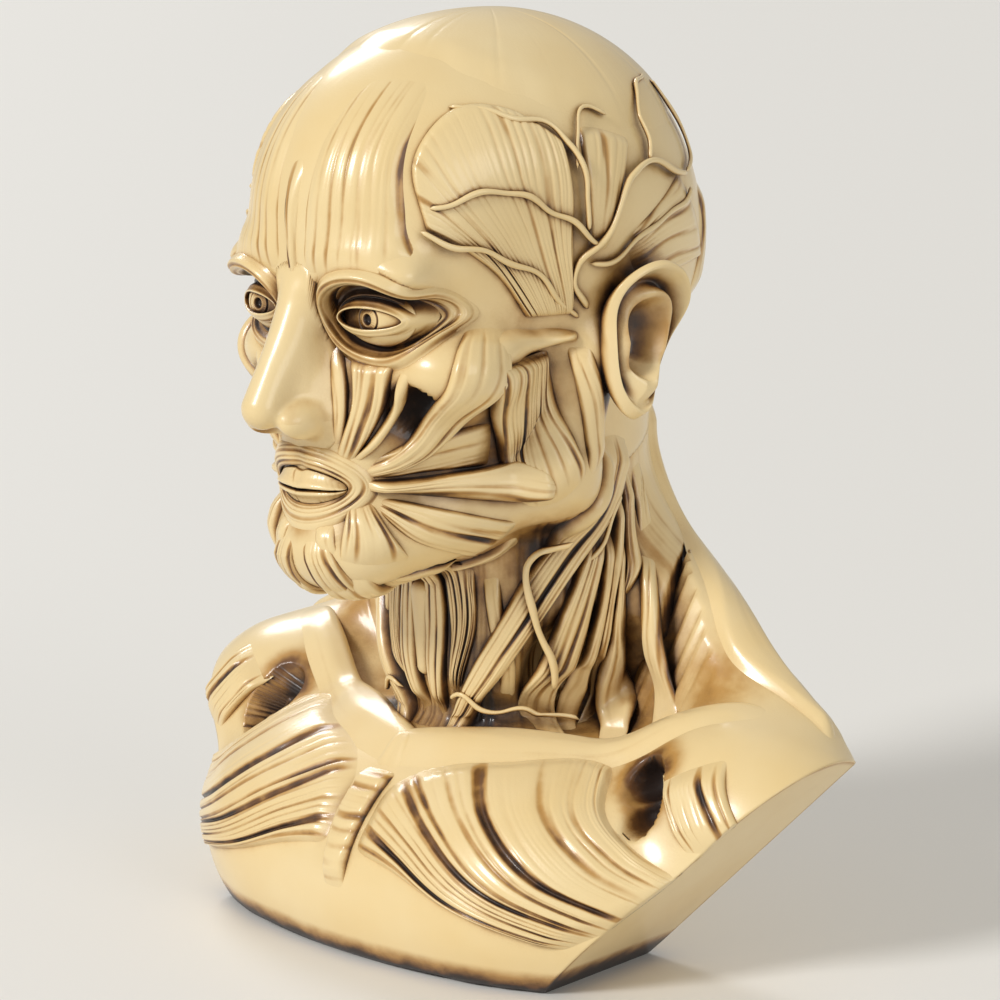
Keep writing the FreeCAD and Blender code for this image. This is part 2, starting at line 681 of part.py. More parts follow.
# Sheets of muscle: the rails of their first and last fibre, and their thickness
PAIRED_FAN_SHARES = {
    "temporalis": (
        [
            (HEAD, 0.89, -0.49, 0.475),
            (HEAD, 0.85, -0.58, 0.57),
            (HEAD, 0.80, -0.63, 0.66),
            (HEAD, 0.77, -0.57, 0.74),
        ],
        [
            (HEAD, 0.93, -0.27, 0.48),
            (HEAD, 0.96, -0.18, 0.57),
            (HEAD, 0.97, -0.13, 0.66),
            (HEAD, 0.96, -0.14, 0.73),
        ],
        0.9,
    ),
    "auricularis": (
        [(HEAD, 0.99, 0.03, 0.60), (HEAD, 0.97, -0.04, 0.67), (HEAD, 0.94, -0.08, 0.73)],
        [(HEAD, 0.99, 0.16, 0.60), (HEAD, 0.98, 0.26, 0.67), (HEAD, 0.95, 0.38, 0.72)],
        0.6,
    ),
    "trapezius": (
        [
            (HEAD, 0.50, 0.72, 0.29),
            (NECK, 0.98, 0.86, 1.10),
            (NECK, 1.32, 0.62, 0.94),
            (BUST, 0.64, 0.50, 0.78),
            (BUST, 0.84, 0.52, 0.72),
        ],
        [
            (HEAD, 0.06, 0.92, 0.32),
            (NECK, 0.45, 1.12, 1.13),
            (BUST, 0.34, 0.94, 0.98),
            (BUST, 0.56, 0.86, 0.865),
            (BUST, 0.76, 0.76, 0.745),
        ],
        1.0,
    ),
    "pectoralis": (
        [
            (BUST, 0.07, -0.62, 0.45),
            (BUST, 0.26, -0.48, 0.49),
            (BUST, 0.46, -0.28, 0.50),
            (BUST, 0.63, -0.06, 0.49),
        ],
        [
            (BUST, 0.06, -1.00, 0.18),
            (BUST, 0.24, -1.02, 0.13),
            (BUST, 0.44, -0.88, 0.11),
            (BUST, 0.59, -0.64, 0.11),
        ],
        1.0,
    ),
    "deltoid": (
        [
            (BUST, 0.70, 0.08, 0.59),
            (BUST, 0.70, 0.00, 0.50),
            (BUST, 0.69, -0.12, 0.40),
            (BUST, 0.66, -0.26, 0.30),
        ],
        [
            (BUST, 0.94, 0.42, 0.67),
            (BUST, 0.97, 0.20, 0.58),
            (BUST, 0.90, 0.02, 0.48),
            (BUST, 0.78, -0.18, 0.34),
        ],
        1.0,
    ),
}
# Straps that lie in the middle or in pairs inside one node
OCCIPITALIS_SHARES = [
    (HEAD, 0.56, 0.82, 0.50, 1.6, 0.6, 0),
    (HEAD, 0.52, 0.86, 0.60, 1.7, 0.6, 0),
    (HEAD, 0.46, 0.84, 0.70, 1.3, 0.5, 0),
]
PROCERUS_SHARES = [
    (HEAD, 0, -0.98, 0.525, 0.50, 0.6, 0),
    (HEAD, 0, -1.00, 0.60, 0.60, 0.6, 0),
    (HEAD, 0, -0.97, 0.70, 0.75, 0.6, 0),
    (HEAD, 0, -0.84, 0.79, 0.40, 0.5, 0),
]
BUCCINATOR_SHARES = [
    (HEAD, 0.52, -0.80, 0.240, 0.7, 0.7, 0),
    (HEAD, 0.62, -0.68, 0.250, 0.9, 0.7, 0),
    (HEAD, 0.72, -0.50, 0.265, 0.9, 0.7, 0),
]
MENTALIS_SHARES = [
    (HEAD, 0.075, -0.97, 0.095, 0.36, 0.7, 0),
    (HEAD, 0.075, -0.97, 0.060, 0.45, 0.8, 0),
    (HEAD, 0.065, -0.95, 0.025, 0.36, 0.6, 0),
]
UPPER_LIP_SHARES = [
    (HEAD, -0.24, -0.98, 0.208, 0.18, 0.7, 0),
    (HEAD, -0.12, -1.00, 0.218, 0.34, 1.2, 0),
    (HEAD, 0, -1.00, 0.214, 0.36, 1.3, 0),
    (HEAD, 0.12, -1.00, 0.218, 0.34, 1.2, 0),
    (HEAD, 0.24, -0.98, 0.208, 0.18, 0.7, 0),
]
LOWER_LIP_SHARES = [
    (HEAD, -0.21, -0.98, 0.188, 0.16, 0.7, 0),
    (HEAD, -0.10, -1.00, 0.182, 0.36, 1.2, 0),
    (HEAD, 0, -1.00, 0.180, 0.40, 1.4, 0),
    (HEAD, 0.10, -1.00, 0.182, 0.36, 1.2, 0),
    (HEAD, 0.21, -0.98, 0.188, 0.16, 0.7, 0),
]
MYLOHYOID_SHARES = [
    (HEAD, 0, -0.80, 0.005, 0.9, 0.6, 0.1),
    (HEAD, 0, -0.66, 0.015, 1.2, 0.6, 0.1),
    (HEAD, 0, -0.44, 0.020, 1.3, 0.6, 0.1),
    (HEAD, 0, -0.33, 0.010, 0.9, 0.5, 0.15),
]
STERNUM_SHARES = [
    (BUST, 0, -0.56, 0.48, 0.55, 0.6, 0),
    (BUST, 0, -0.85, 0.34, 0.50, 0.6, 0),
    (BUST, 0, -1.03, 0.18, 0.45, 0.6, 0),
]
# Vessels and nerves: frame, place and lift over what they cross
SCALP_VESSEL_SHARES = [
    [
        (HEAD, 0.90, -0.09, 0.480, 0),
        (HEAD, 0.81, -0.30, 0.57, 1.0),
        (HEAD, 0.75, -0.50, 0.61, 1.0),
        (HEAD, 0.70, -0.66, 0.63, 1.0),
        (HEAD, 0.62, -0.78, 0.65, 0.7),
    ],
    [
        (HEAD, 0.90, -0.03, 0.500, 0),
        (HEAD, 0.87, -0.12, 0.54, 0.3),
        (HEAD, 0.90, -0.10, 0.58, 0.3),
        (HEAD, 0.94, -0.03, 0.62, 0.7),
        (HEAD, 0.97, 0.06, 0.68, 0.7),
        (HEAD, 0.96, 0.13, 0.73, 0.7),
        (HEAD, 0.93, 0.27, 0.745, 0.7),
        (HEAD, 0.84, 0.55, 0.71, 0.5),
    ],
    [
        (HEAD, 0.93, -0.10, 0.640, 1.0),
        (HEAD, 0.88, -0.20, 0.67, 1.0),
        (HEAD, 0.84, -0.33, 0.70, 1.0),
        (HEAD, 0.79, -0.47, 0.72, 1.0),
        (HEAD, 0.73, -0.60, 0.71, 1.0),
        (HEAD, 0.64, -0.74, 0.69, 0.7),
    ],
    [
        (HEAD, 0.91, -0.13, 0.750, 1.0),
        (HEAD, 0.87, -0.15, 0.79, 0.6),
        (HEAD, 0.80, -0.23, 0.82, 0.6),
        (HEAD, 0.70, -0.41, 0.84, 0.6),
        (HEAD, 0.53, -0.56, 0.87, 0.6),
    ],
    [
        (HEAD, 0.90, 0.28, 0.780, 0.6),
        (HEAD, 0.82, 0.29, 0.82, 0.6),
        (HEAD, 0.75, 0.33, 0.86, 0.6),
        (HEAD, 0.58, 0.52, 0.88, 0.6),
    ],
]
NECK_VESSEL_SHARES = [
    [
        (NECK, 1.08, -0.50, 1.180, 2.6),
        (NECK, 0.92, -0.64, 1.10, 2.3),
        (NECK, 0.88, -0.74, 0.97, 2.4),
        (NECK, 0.96, -0.62, 0.84, 1.8),
        (NECK, 0.98, -0.50, 0.70, 1.6),
    ],
    [
        (NECK, 1.01, 0.11, 1.21, 1.3),
        (NECK, 1.02, -0.03, 1.10, 1.2),
        (NECK, 0.98, -0.20, 1.03, 0.4),
    ],
]
EYE_SHARES = (0.415, -0.823, 0.500)
MOUTH_SHARES = (0, 0.200)
EYE_RING_SHARES = ((0.205, 0.050), (0.300, 0.086))
MOUTH_RING_SHARES = ((0.275, 0.042), (0.370, 0.088))
RING_THICKNESS_SHARE = 0.85


SCALP_CENTRE_SHARES = (0, 0.10, 0.50)
SCALP_PIECES = 4
# How far the sheet comes down, as shares of a right angle, from the forehead round to the back
SCALP_EDGE_SHARES = [0.37, 0.44, 0.56, 0.60, 0.56]
# The rings under the sheet, round its edge and back over it: how far out, and how high
SCALP_RING_SHARES = [
    (0, 0), (0.07, 0), (0.20, 0), (0.38, 0), (0.56, 0), (0.76, 0), (0.92, 0), (1.0, 0.1),
    (1.01, 0.6), (0.97, 0.95), (0.85, 1), (0.66, 1), (0.46, 1), (0.26, 1), (0.09, 1), (0, 1),
]


def scalp_aponeurosis():
    """The smooth sheet over the crown, between the forehead, the temples and the back of the head."""
    middle = place(HEAD, *SCALP_CENTRE_SHARES)
    half = [e[0] for e in smooth_route([[share] for share in SCALP_EDGE_SHARES], SCALP_PIECES)]
    outline = half + half[-2:0:-1]
    rows = []
    for inset_share, height_share in SCALP_RING_SHARES:
        row = []
        for k, edge_share in enumerate(outline):
            angle = 2 * math.pi * k / len(outline)
            tilt = inset_share * edge_share * math.pi / 2
            way = (math.sin(tilt) * math.sin(angle), -math.sin(tilt) * math.cos(angle), math.cos(tilt))
            foot = cast(envelope, middle, way, HEAD_HEIGHT)
            row.append(add(foot, way, 2 * SEAT_GAP + height_share * SCALP_THICKNESS))
        rows.append(row)
    return net_solid(rows)


def eyeball():
    return Part.makeSphere(EYEBALL_RADIUS, FreeCAD.Vector(*place(HEAD, *EYE_SHARES)))


LID_COLUMNS = 9
LID_SPREAD_SHARE = 0.70
LID_SIDES = 4
# Tilt of each lid's free edge and of its other edge, as shares of a right angle
UPPER_LID_SHARES = (0.12, 0.62)
LOWER_LID_SHARES = (-0.12, -0.55)


def eyelid(edge_share, crease_share):
    """A lid: a shell round the front of the eyeball that closes to a point at both corners."""
    centre = place(HEAD, *EYE_SHARES)
    inner, outer = EYEBALL_RADIUS + LID_GAP, EYEBALL_RADIUS + LID_GAP + LID_THICKNESS
    rows = []
    for k in range(LID_COLUMNS + 1):
        along = 2 * k / LID_COLUMNS - 1
        turn = along * LID_SPREAD_SHARE * math.pi / 2
        open_share = math.sqrt(max(0, 1 - along * along))
        row = []
        corner = k in (0, LID_COLUMNS)
        for radius, sides in ((inner, range(LID_SIDES)), (outer, reversed(range(LID_SIDES)))):
            radius = (inner + outer) / 2 if corner else radius
            for side in sides:
                share = edge_share + side / (LID_SIDES - 1) * (crease_share - edge_share)
                tilt = open_share * share * math.pi / 2
                way = (math.cos(tilt) * math.sin(turn), -math.cos(tilt) * math.cos(turn), math.sin(tilt))
                row.append(add(centre, way, radius))
        rows.append(row)
    return net_solid(rows)


NOSE_CENTRE_SHARES = (0, -1.03, 0.37)
NOSE_TIP_SHARES = (0, -1.185, 0.345)
NOSE_BRIDGE_SHARES = (0, -0.985, 0.515)
NOSE_WING_SHARES = (0.125, -1.105, 0.320)
NOSE_ROOT_SHARES = (0, -0.98, 0.345)
NOSTRIL_SHARES = (0.085, -1.13, 0.285)
NOSE_ROWS = 13
NOSE_COUNT = 22
# Radii of the bridge, the wings and the nostrils, as shares of the tip's radius
NOSE_BRIDGE_SHARE = 0.60
NOSE_WING_SHARE = 0.76
NOSE_ROOT_SHARE = 1.40
NOSTRIL_SHARE = 0.42


def nose():
    """A plain straight nose with two wings and two nostrils, seated on the face."""
    tip, bridge = place(HEAD, *NOSE_TIP_SHARES), place(HEAD, *NOSE_BRIDGE_SHARES)
    wing, nostril = place(HEAD, *NOSE_WING_SHARES), place(HEAD, *NOSTRIL_SHARES)
    root = place(HEAD, *NOSE_ROOT_SHARES)
    blend = NOSE_TIP_RADIUS / 2
    bars = [
        ((bridge, tip), (NOSE_BRIDGE_SHARE * NOSE_TIP_RADIUS, NOSE_TIP_RADIUS), blend),
        ((bridge, root), (NOSE_BRIDGE_SHARE * NOSE_TIP_RADIUS, NOSE_ROOT_SHARE * NOSE_TIP_RADIUS), blend),
        ((wing, tip), (NOSE_WING_SHARE * NOSE_TIP_RADIUS, NOSE_WING_SHARE * NOSE_TIP_RADIUS), blend),
    ]
    hole = NOSTRIL_SHARE * NOSE_TIP_RADIUS
    shape = field_of([], bars, [(nostril, (hole, 2 * hole, 2 * hole), hole)])

    def seated(point):
        return max(shape(point), SEAT_GAP - envelope(point))

    centre = place(HEAD, *NOSE_CENTRE_SHARES)
    return net_solid(star_rows(seated, centre, NOSE_ROWS, NOSE_COUNT, HEAD_HALF_WIDTH))


LARYNX_CENTRE_SHARES = (0, -1.08, 0.86)
LARYNX_TOP_SHARES = (0, -0.96, 0.94)
LARYNX_FOOT_SHARES = (0, -1.00, 0.74)
LARYNX_ROWS = 10
LARYNX_COUNT = 14


def larynx():
    """The rounded ridge of the larynx at the front of the neck."""
    top, foot = place(NECK, *LARYNX_TOP_SHARES), place(NECK, *LARYNX_FOOT_SHARES)
    shape = field_of([], [((top, foot), (LARYNX_RADIUS, LARYNX_RADIUS / 2), LARYNX_RADIUS)])

    def seated(point):
        return max(shape(point), SEAT_GAP - envelope(point))

    centre = place(NECK, *LARYNX_CENTRE_SHARES)
    return net_solid(star_rows(seated, centre, LARYNX_ROWS, LARYNX_COUNT, NECK_RADIUS))


EAR_SHARES = (0.95, 0.12, 0.435)
EAR_COUNT = 22
# The ear's rings, from the root out to the rim and into the hollow: size and stand out as shares
EAR_RING_SHARES = [
    (0, 0), (0.30, 0), (0.42, 0.08), (0.62, 0.50), (0.88, 0.80), (1.0, 0.95), (0.98, 1.10),
    (0.84, 1.12), (0.72, 0.95), (0.58, 0.62), (0.36, 0.42), (0.16, 0.36), (0, 0.36),
]
# How the ear's outline narrows to the lobe, leans back and lies closer to the head in front
EAR_LOBE_SHARE = 0.24
EAR_LEAN_SHARE = 0.20
EAR_FRONT_SHARE = 0.40


def ear():
    """A cupped ear: a rim that stands out behind, a hollow in the middle and a narrow lobe below."""
    centre, out = settle(envelope, place(HEAD, *EAR_SHARES))
    rows = []
    for size_share, height_share in EAR_RING_SHARES:
        row = []
        for k in range(EAR_COUNT):
            angle = 2 * math.pi * k / EAR_COUNT
            tall, wide = size_share * math.sin(angle), size_share * math.cos(angle)
            wide = wide * (1 + EAR_LOBE_SHARE * tall) + EAR_LEAN_SHARE * tall
            guess = add(centre, (0, wide * EAR_WIDTH / 2, tall * EAR_HEIGHT / 2))
            foot, _ = settle(envelope, guess)
            stand_share = height_share * (1 - EAR_FRONT_SHARE * (1 - math.cos(angle)) / 2)
            row.append(add(foot, out, SEAT_GAP + stand_share * EAR_STAND_OUT))
        rows.append(row)
    return net_solid(rows)


def export(name, *solids):
    """Writes a node. Several solids go in as a group of separate solids."""
    shape = solids[0] if len(solids) == 1 else Part.Compound(list(solids))
    for solid in solids:
        if not solid.isValid() or solid.Volume <= 0:
            print("not a sound solid:", name, round(solid.Volume, 2))
    shape.exportStep("parts/" + name + ".step")


def export_pair(name, *solids):
    """Writes a left node and its mirror image on the right."""
    export(name + "_l", *solids)
    export(name + "_r", *[mirrored(s) for s in solids])


def with_mirror(*solids):
    return list(solids) + [mirrored(s) for s in solids]


def cores():
    export("head_core", head_core())
    export("neck_core", neck_core())
    export("chest_block", chest_block())


def muscles():
    for name, straps in PAIRED_STRAP_SHARES.items():
        export_pair(name, *[strap(s) for s in straps])
    export_pair("clavicle", trimmed(strap(CLAVICLE_SHARES), arm_blocks()))
    for name, (first, second, thickness_share) in PAIRED_FAN_SHARES.items():
        export_pair(name, fan(first, second, thickness_share))
    export("scalp_aponeurosis", scalp_aponeurosis())
    export("occipitalis", *with_mirror(strap(OCCIPITALIS_SHARES)))
    export("procerus", strap(PROCERUS_SHARES))
    export("buccinators", *with_mirror(strap(BUCCINATOR_SHARES, deep_surface)))
    export("mentalis", *with_mirror(strap(MENTALIS_SHARES)))
    export("mylohyoid", strap(MYLOHYOID_SHARES))
    export("sternum", strap(STERNUM_SHARES))


def face():
    export_pair("eyeball", eyeball())
    export_pair("eyelids", eyelid(*UPPER_LID_SHARES), eyelid(*LOWER_LID_SHARES))
    eye = (EYE_SHARES[0], EYE_SHARES[2])
    export_pair("orbicularis_oculi", ring_muscle(eye, *EYE_RING_SHARES, RING_THICKNESS_SHARE))
    export("orbicularis_oris", ring_muscle(MOUTH_SHARES, *MOUTH_RING_SHARES, RING_THICKNESS_SHARE))
    export("lips", strap(UPPER_LIP_SHARES), strap(LOWER_LIP_SHARES))
    export("nose", nose())
    export("larynx", larynx())
    export_pair("ear", ear())


def vessels():
    export_pair("scalp_vessels", *[vessel(s) for s in SCALP_VESSEL_SHARES])
    export_pair("neck_vessels", *[vessel(s) for s in NECK_VESSEL_SHARES])


os.makedirs("parts", exist_ok=True)
cores()
muscles()
face()
vessels()
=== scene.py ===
"""Study bust of a head, neck and chest without skin, in antiqued ivory resin, round its CAD frame.

Every muscle, vessel and feature is a surface worked out on a grid. It lies on the same field that the
CAD solids were cut from, a smooth union of rounded forms, and carries carved fibres that hold a brown
wash. Lengths are in metres. The face looks along -Y, and +X is the bust's left side.
"""

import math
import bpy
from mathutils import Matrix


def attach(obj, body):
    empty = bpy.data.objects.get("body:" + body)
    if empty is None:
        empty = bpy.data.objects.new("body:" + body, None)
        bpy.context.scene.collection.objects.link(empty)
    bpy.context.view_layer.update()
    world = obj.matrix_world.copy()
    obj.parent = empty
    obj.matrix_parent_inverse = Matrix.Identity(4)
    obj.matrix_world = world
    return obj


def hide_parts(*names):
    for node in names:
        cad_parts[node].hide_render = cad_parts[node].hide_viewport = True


bl_info = {
    "name": "Resin Study Bust",
    "version": (1, 0, 0),
    "blender": (4, 5, 0),
    "location": "View3D > Sidebar > Study Bust",
    "description": "Dresses the packed study bust with carved muscles, vessels and an antiqued finish",
    "category": "Object",
}

import bpy
import numpy as np
from mathutils import Vector

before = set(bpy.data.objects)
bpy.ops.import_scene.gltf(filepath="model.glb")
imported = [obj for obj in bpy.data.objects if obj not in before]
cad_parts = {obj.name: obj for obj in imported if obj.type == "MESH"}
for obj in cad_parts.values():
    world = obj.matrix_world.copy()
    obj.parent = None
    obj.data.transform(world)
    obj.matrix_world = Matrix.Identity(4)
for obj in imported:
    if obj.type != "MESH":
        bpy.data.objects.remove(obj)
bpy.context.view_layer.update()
BODY = "root"

# The body's own sizes, which the CAD frame fixes
CHIN_HEIGHT = 0.076
HEAD_HEIGHT = 0.112
HEAD_HALF_WIDTH = 0.0385
HEAD_HALF_LENGTH = 0.048
NECK_RADIUS = 0.025
NECK_SET_BACK = 0.012
SHOULDER_HALF_WIDTH = 0.082
CHEST_HALF_DEPTH = 0.040

# How fine the grids are, along and across the fibres, and on smooth parts
FINE_ALONG = 0.00042
FINE_ACROSS = 0.00023
SMOOTH_CELL = 0.00045
TINY = 1e-9

HEAD, NECK, BUST = "head", "neck", "bust"
FRAMES = {
    HEAD: ((HEAD_HALF_WIDTH, HEAD_HALF_LENGTH, HEAD_HEIGHT), (0.0, 0.0, CHIN_HEIGHT)),
    NECK: ((NECK_RADIUS, NECK_RADIUS, CHIN_HEIGHT), (0.0, NECK_SET_BACK, 0.0)),
    BUST: ((SHOULDER_HALF_WIDTH, CHEST_HALF_DEPTH, CHIN_HEIGHT), (0.0, 0.0, 0.0)),
}


def place(frame_name, x, y, z):
    """The point at these shares of the head, the neck or the bust."""
    size, start = FRAMES[frame_name]
    return np.array((x, y, z)) * size + start


# ---------------------------------------------------------------- the field of the body

# Rounded forms: centre, radii, and the blend into the rest as a share of the head's height. They are
# the CAD source's own, on the left side or on both
HEAD_FORMS = [
    ((0, 0.10, 0.65), (0.98, 0.93, 0.35), 0.05),
    ((0, -0.26, 0.655), (0.82, 0.76, 0.31), 0.07),
    ((0, 0.42, 0.55), (0.82, 0.60, 0.27), 0.09),
    ((0, -0.34, 0.38), (0.70, 0.58, 0.26), 0.07),
    ((0, -0.66, 0.27), (0.44, 0.32, 0.17), 0.05),
    ((0, -0.80, 0.085), (0.34, 0.20, 0.085), 0.05),
    ((0, -0.42, 0.15), (0.58, 0.46, 0.13), 0.05),
    ((0.60, -0.56, 0.405), (0.26, 0.24, 0.065), 0.07),
    ((0.34, -0.84, 0.575), (0.34, 0.13, 0.04), 0.07),
]
BUST_FORMS = [
    ((0, 0.25, 0.16), (0.96, 1.24, 0.46), 0.07),
    ((0.77, 0.35, 0.36), (0.38, 0.60, 0.33), 0.07),
    ((0.34, -0.24, 0.20), (0.34, 0.62, 0.28), 0.07),
    ((0.50, 0.65, 0.34), (0.42, 0.45, 0.35), 0.07),
]
# Tapered bars: frame, two ends, their radii as shares of the frame's half width, and the blend
BARS = [
    (HEAD, (0.22, -0.70, 0.085), (0.66, -0.02, 0.185), 0.17, 0.17, 0.07),
    (HEAD, (0.66, -0.02, 0.185), (0.80, 0.05, 0.42), 0.18, 0.155, 0.07),
    (NECK, (0, 0.0, 1.47), (0, -0.04, 0.79), 1.0, 1.0, 0.06),
    (NECK, (0, 0.40, 1.47), (0, 0.28, 0.72), 0.80, 0.86, 0.07),
    (BUST, (0.10, 0.72, 1.08), (0.79, 0.66, 0.56), 0.15, 0.115, 0.09),
]
TEMPLE_HOLLOW = (HEAD, (1.12, -0.52, 0.60), (0.28, 0.42, 0.15), 0.09)
DEEP_HOLLOWS = [
    (HEAD, (0.415, -1.00, 0.500), (0.31, 0.36, 0.080), 0.027),
    (HEAD, (0.90, -0.54, 0.250), (0.28, 0.34, 0.110), 0.05),
    (BUST, (0.40, 0.16, 0.72), (0.25, 0.33, 0.17), 0.05),
]
# Pits that only the carving has: between the chest and the shoulder muscle, and beside the nose
CARVED_HOLLOWS = [
    (BUST, (0.655, -0.15, 0.530), (0.052, 0.24, 0.062), 0.012),
    (BUST, (0.695, -0.23, 0.478), (0.040, 0.20, 0.080), 0.012),
    (HEAD, (0.25, -1.00, 0.375), (0.06, 0.10, 0.045), 0.010),
    (HEAD, (0.545, -0.775, 0.335), (0.13, 0.17, 0.050), 0.012),
]


def rounded_form(frame_name, centre, radii, blend):
    """A rounded form's centre, radii and blend in metres, from shares of its frame."""
    size, _ = FRAMES[frame_name]
    return place(frame_name, *centre), np.array(radii) * size, blend * HEAD_HEIGHT


def tapered_bar(frame_name, start, end, start_radius, end_radius, blend):
    """A bar's ends, radii and blend in metres, from shares of its frame."""
    width = FRAMES[frame_name][0][0]
    ends = place(frame_name, *start), place(frame_name, *end)
    return ends, (start_radius * width, end_radius * width), blend * HEAD_HEIGHT


def rounded_value(form, points):
    """How far points lie outside a rounded form: k (k - 1) / m, where k is the length of the point
    over the radii, and m its length over the radii squared."""
    centre, radii, _ = form
    scaled = (points - centre) / radii
    near = np.sqrt((scaled * scaled).sum(-1))
    scaled = scaled / radii
    slope = np.sqrt((scaled * scaled).sum(-1))
    return near * (near - 1) / np.maximum(slope, TINY)


def bar_value(form, points):
    """How far points lie outside a tapered bar: distance to its axis less the radius there."""
    (start, end), (start_radius, end_radius), _ = form
    axis = end - start
    offset = points - start
    along = np.clip(offset @ axis / (axis @ axis), 0, 1)
    offset = offset - along[..., None] * axis
    return np.sqrt((offset * offset).sum(-1)) - start_radius - along * (end_radius - start_radius)


def blend_in(value, other, blend):
    """The smaller of two values, less a parabola where they differ by less than the blend."""
    overlap = np.maximum(blend - np.abs(value - other), 0)
    return np.minimum(value, other) - overlap * overlap / (4 * blend)


def folded(points):
    """The points with their left mirror images in place of those on the right."""
    points = points * (1, 1, 1)
    points[..., 0] = np.abs(points[..., 0])
    return points


def field_of(rounds, bars, hollows=()):
    """A function of points that is negative inside the forms, and positive outside or in a hollow."""
    parts = [(rounded_value, form) for form in rounds] + [(bar_value, form) for form in bars]

    def value(points):
        points, result = folded(points), None
        for measure, form in parts:
            own = measure(form, points)
            result = own if result is None else blend_in(result, own, form[2])
        for form in hollows:
            result = -blend_in(-result, rounded_value(form, points), form[2])
        return result

    return value


ROUND_FORMS = [rounded_form(HEAD, *f) for f in HEAD_FORMS] + [rounded_form(BUST, *f) for f in BUST_FORMS]
BAR_FORMS = [tapered_bar(*f) for f in BARS]
# The surface that the muscles lie on, the cores below it, and the chest's core alone
envelope = field_of(ROUND_FORMS, BAR_FORMS, [rounded_form(*TEMPLE_HOLLOW)])
core_surface = field_of(
    ROUND_FORMS, BAR_FORMS, [rounded_form(*f) for f in [TEMPLE_HOLLOW] + DEEP_HOLLOWS + CARVED_HOLLOWS]
)
chest_surface = field_of(
    [rounded_form(BUST, *f) for f in BUST_FORMS], [tapered_bar(*f) for f in BARS if f[0] == BUST],
    [rounded_form(*f) for f in [DEEP_HOLLOWS[-1]] + CARVED_HOLLOWS[:2]]
)


def unit(vectors):
    """The vectors at a length of one metre."""
    return vectors / np.maximum(np.linalg.norm(vectors, axis=-1, keepdims=True), TINY)


SLOPE_STEP = 0.00005
LEAST_SLOPE = 0.2
LONGEST_STEP = 0.004
OFFSETS = np.vstack([np.zeros(3), SLOPE_STEP * np.eye(3)])


def settle(field, points, rounds=4):
    """The places on the field's surface nearest to the points, by Newton's method along the field's
    slope, and the directions that point out of it there."""
    for _ in range(rounds):
        here, *beside = field(points[None] + OFFSETS.reshape((4,) + (1,) * (points.ndim - 1) + (3,)))
        slope = np.stack([(b - here) / SLOPE_STEP for b in beside], -1)
        step = np.clip(here / np.maximum((slope * slope).sum(-1), LEAST_SLOPE), -LONGEST_STEP, LONGEST_STEP)
        points = points - slope * step[..., None]
    return points, unit(slope)


# Steps and halvings of a cast, and halvings of plain rays and of those onto the face
CAST_STEPS, CAST_HALVINGS, RAY_HALVINGS, FRONT_HALVINGS = 24, 14, 19, 18


def halve(is_outside, low, high, rounds):
    """The distances between which rays leave a form, closed in on by halving."""
    for _ in range(rounds):
        middle = (low + high) / 2
        outside = is_outside(middle)
        low, high = np.where(outside, low, middle), np.where(outside, middle, high)
    return low, high


def cast(field, origin, ways, longest):
    """The places where the body ends along the ways out from a point inside it, by steps and halving."""
    low = np.zeros(ways.shape[:-1])
    high = np.full(ways.shape[:-1], longest)
    still = np.ones(ways.shape[:-1], bool)
    for step in range(1, CAST_STEPS + 1):
        far = longest * step / CAST_STEPS
        outside = field(origin + ways * far) > 0
        high = np.where(still & outside, far, high)
        still = still & ~outside
        low = np.where(still, far, low)
    low, high = halve(lambda d: field(origin + ways * d[..., None]) > 0, low, high, CAST_HALVINGS)
    return origin + ways * ((low + high) / 2)[..., None]


def body_rays(field, starts, ways, longest, rounds=RAY_HALVINGS):
    """Where rays from inside a form leave it, by halving alone, because each ray leaves it once."""
    low, high = np.zeros(ways.shape[:-1]), np.full(ways.shape[:-1], longest)
    low, _ = halve(lambda d: field(starts + ways * d[..., None]) > 0, low, high, rounds)
    return starts + ways * low[..., None]


def cast_front(starts):
    """The places of the face straight in front of the starts, along -Y."""
    ways = np.zeros(starts.shape) + (0, -1, 0)
    return body_rays(envelope, starts, ways, 2 * HEAD_HALF_LENGTH, FRONT_HALVINGS)


def rays(rows, columns):
    """Ways out in all directions: by tilt, from straight down to straight up, and by turn."""
    tilt = np.linspace(-math.pi / 2, math.pi / 2, rows + 2)[1:-1, None]
    turn = np.linspace(0, 2 * math.pi, columns, False)[None]
    level = np.cos(tilt)
    return np.stack([level * np.sin(turn), level * np.cos(turn), np.sin(tilt) + 0 * turn], -1)


def spline(stations, t):
    """Places on the Catmull-Rom line through all stations, at a parameter that counts the stations."""
    ends = np.concatenate([2 * stations[:1] - stations[1:2], stations, 2 * stations[-1:] - stations[-2:-1]])
    k = np.minimum(t.astype(int), len(stations) - 2)
    t = (t - k).reshape((-1,) + (1,) * (stations.ndim - 1))
    before, here, after, beyond = ends[k], ends[k + 1], ends[k + 2], ends[k + 3]
    bend = 2 * before - 5 * here + 4 * after - beyond
    twist = 3 * (here - after) + beyond - before
    return here + (t * (after - before) + t * t * bend + t ** 3 * twist) / 2


LINE_SAMPLES, LEAST_LINE = 40, 12


def smooth_line(stations, cell):
    """Rows of values on the smooth line through all stations, one cell apart by their places."""
    stations = np.asarray(stations, float)
    dense = np.linspace(0, len(stations) - 1, LINE_SAMPLES * len(stations))
    steps = np.linalg.norm(np.diff(spline(stations, dense)[:, :3], axis=0), axis=1)
    length = np.concatenate([[0], np.cumsum(steps)])
    even = np.linspace(0, length[-1], max(LEAST_LINE, int(length[-1] / cell)))
    return spline(stations, np.interp(even, length, dense)), length[-1]


# ---------------------------------------------------------------- fibres

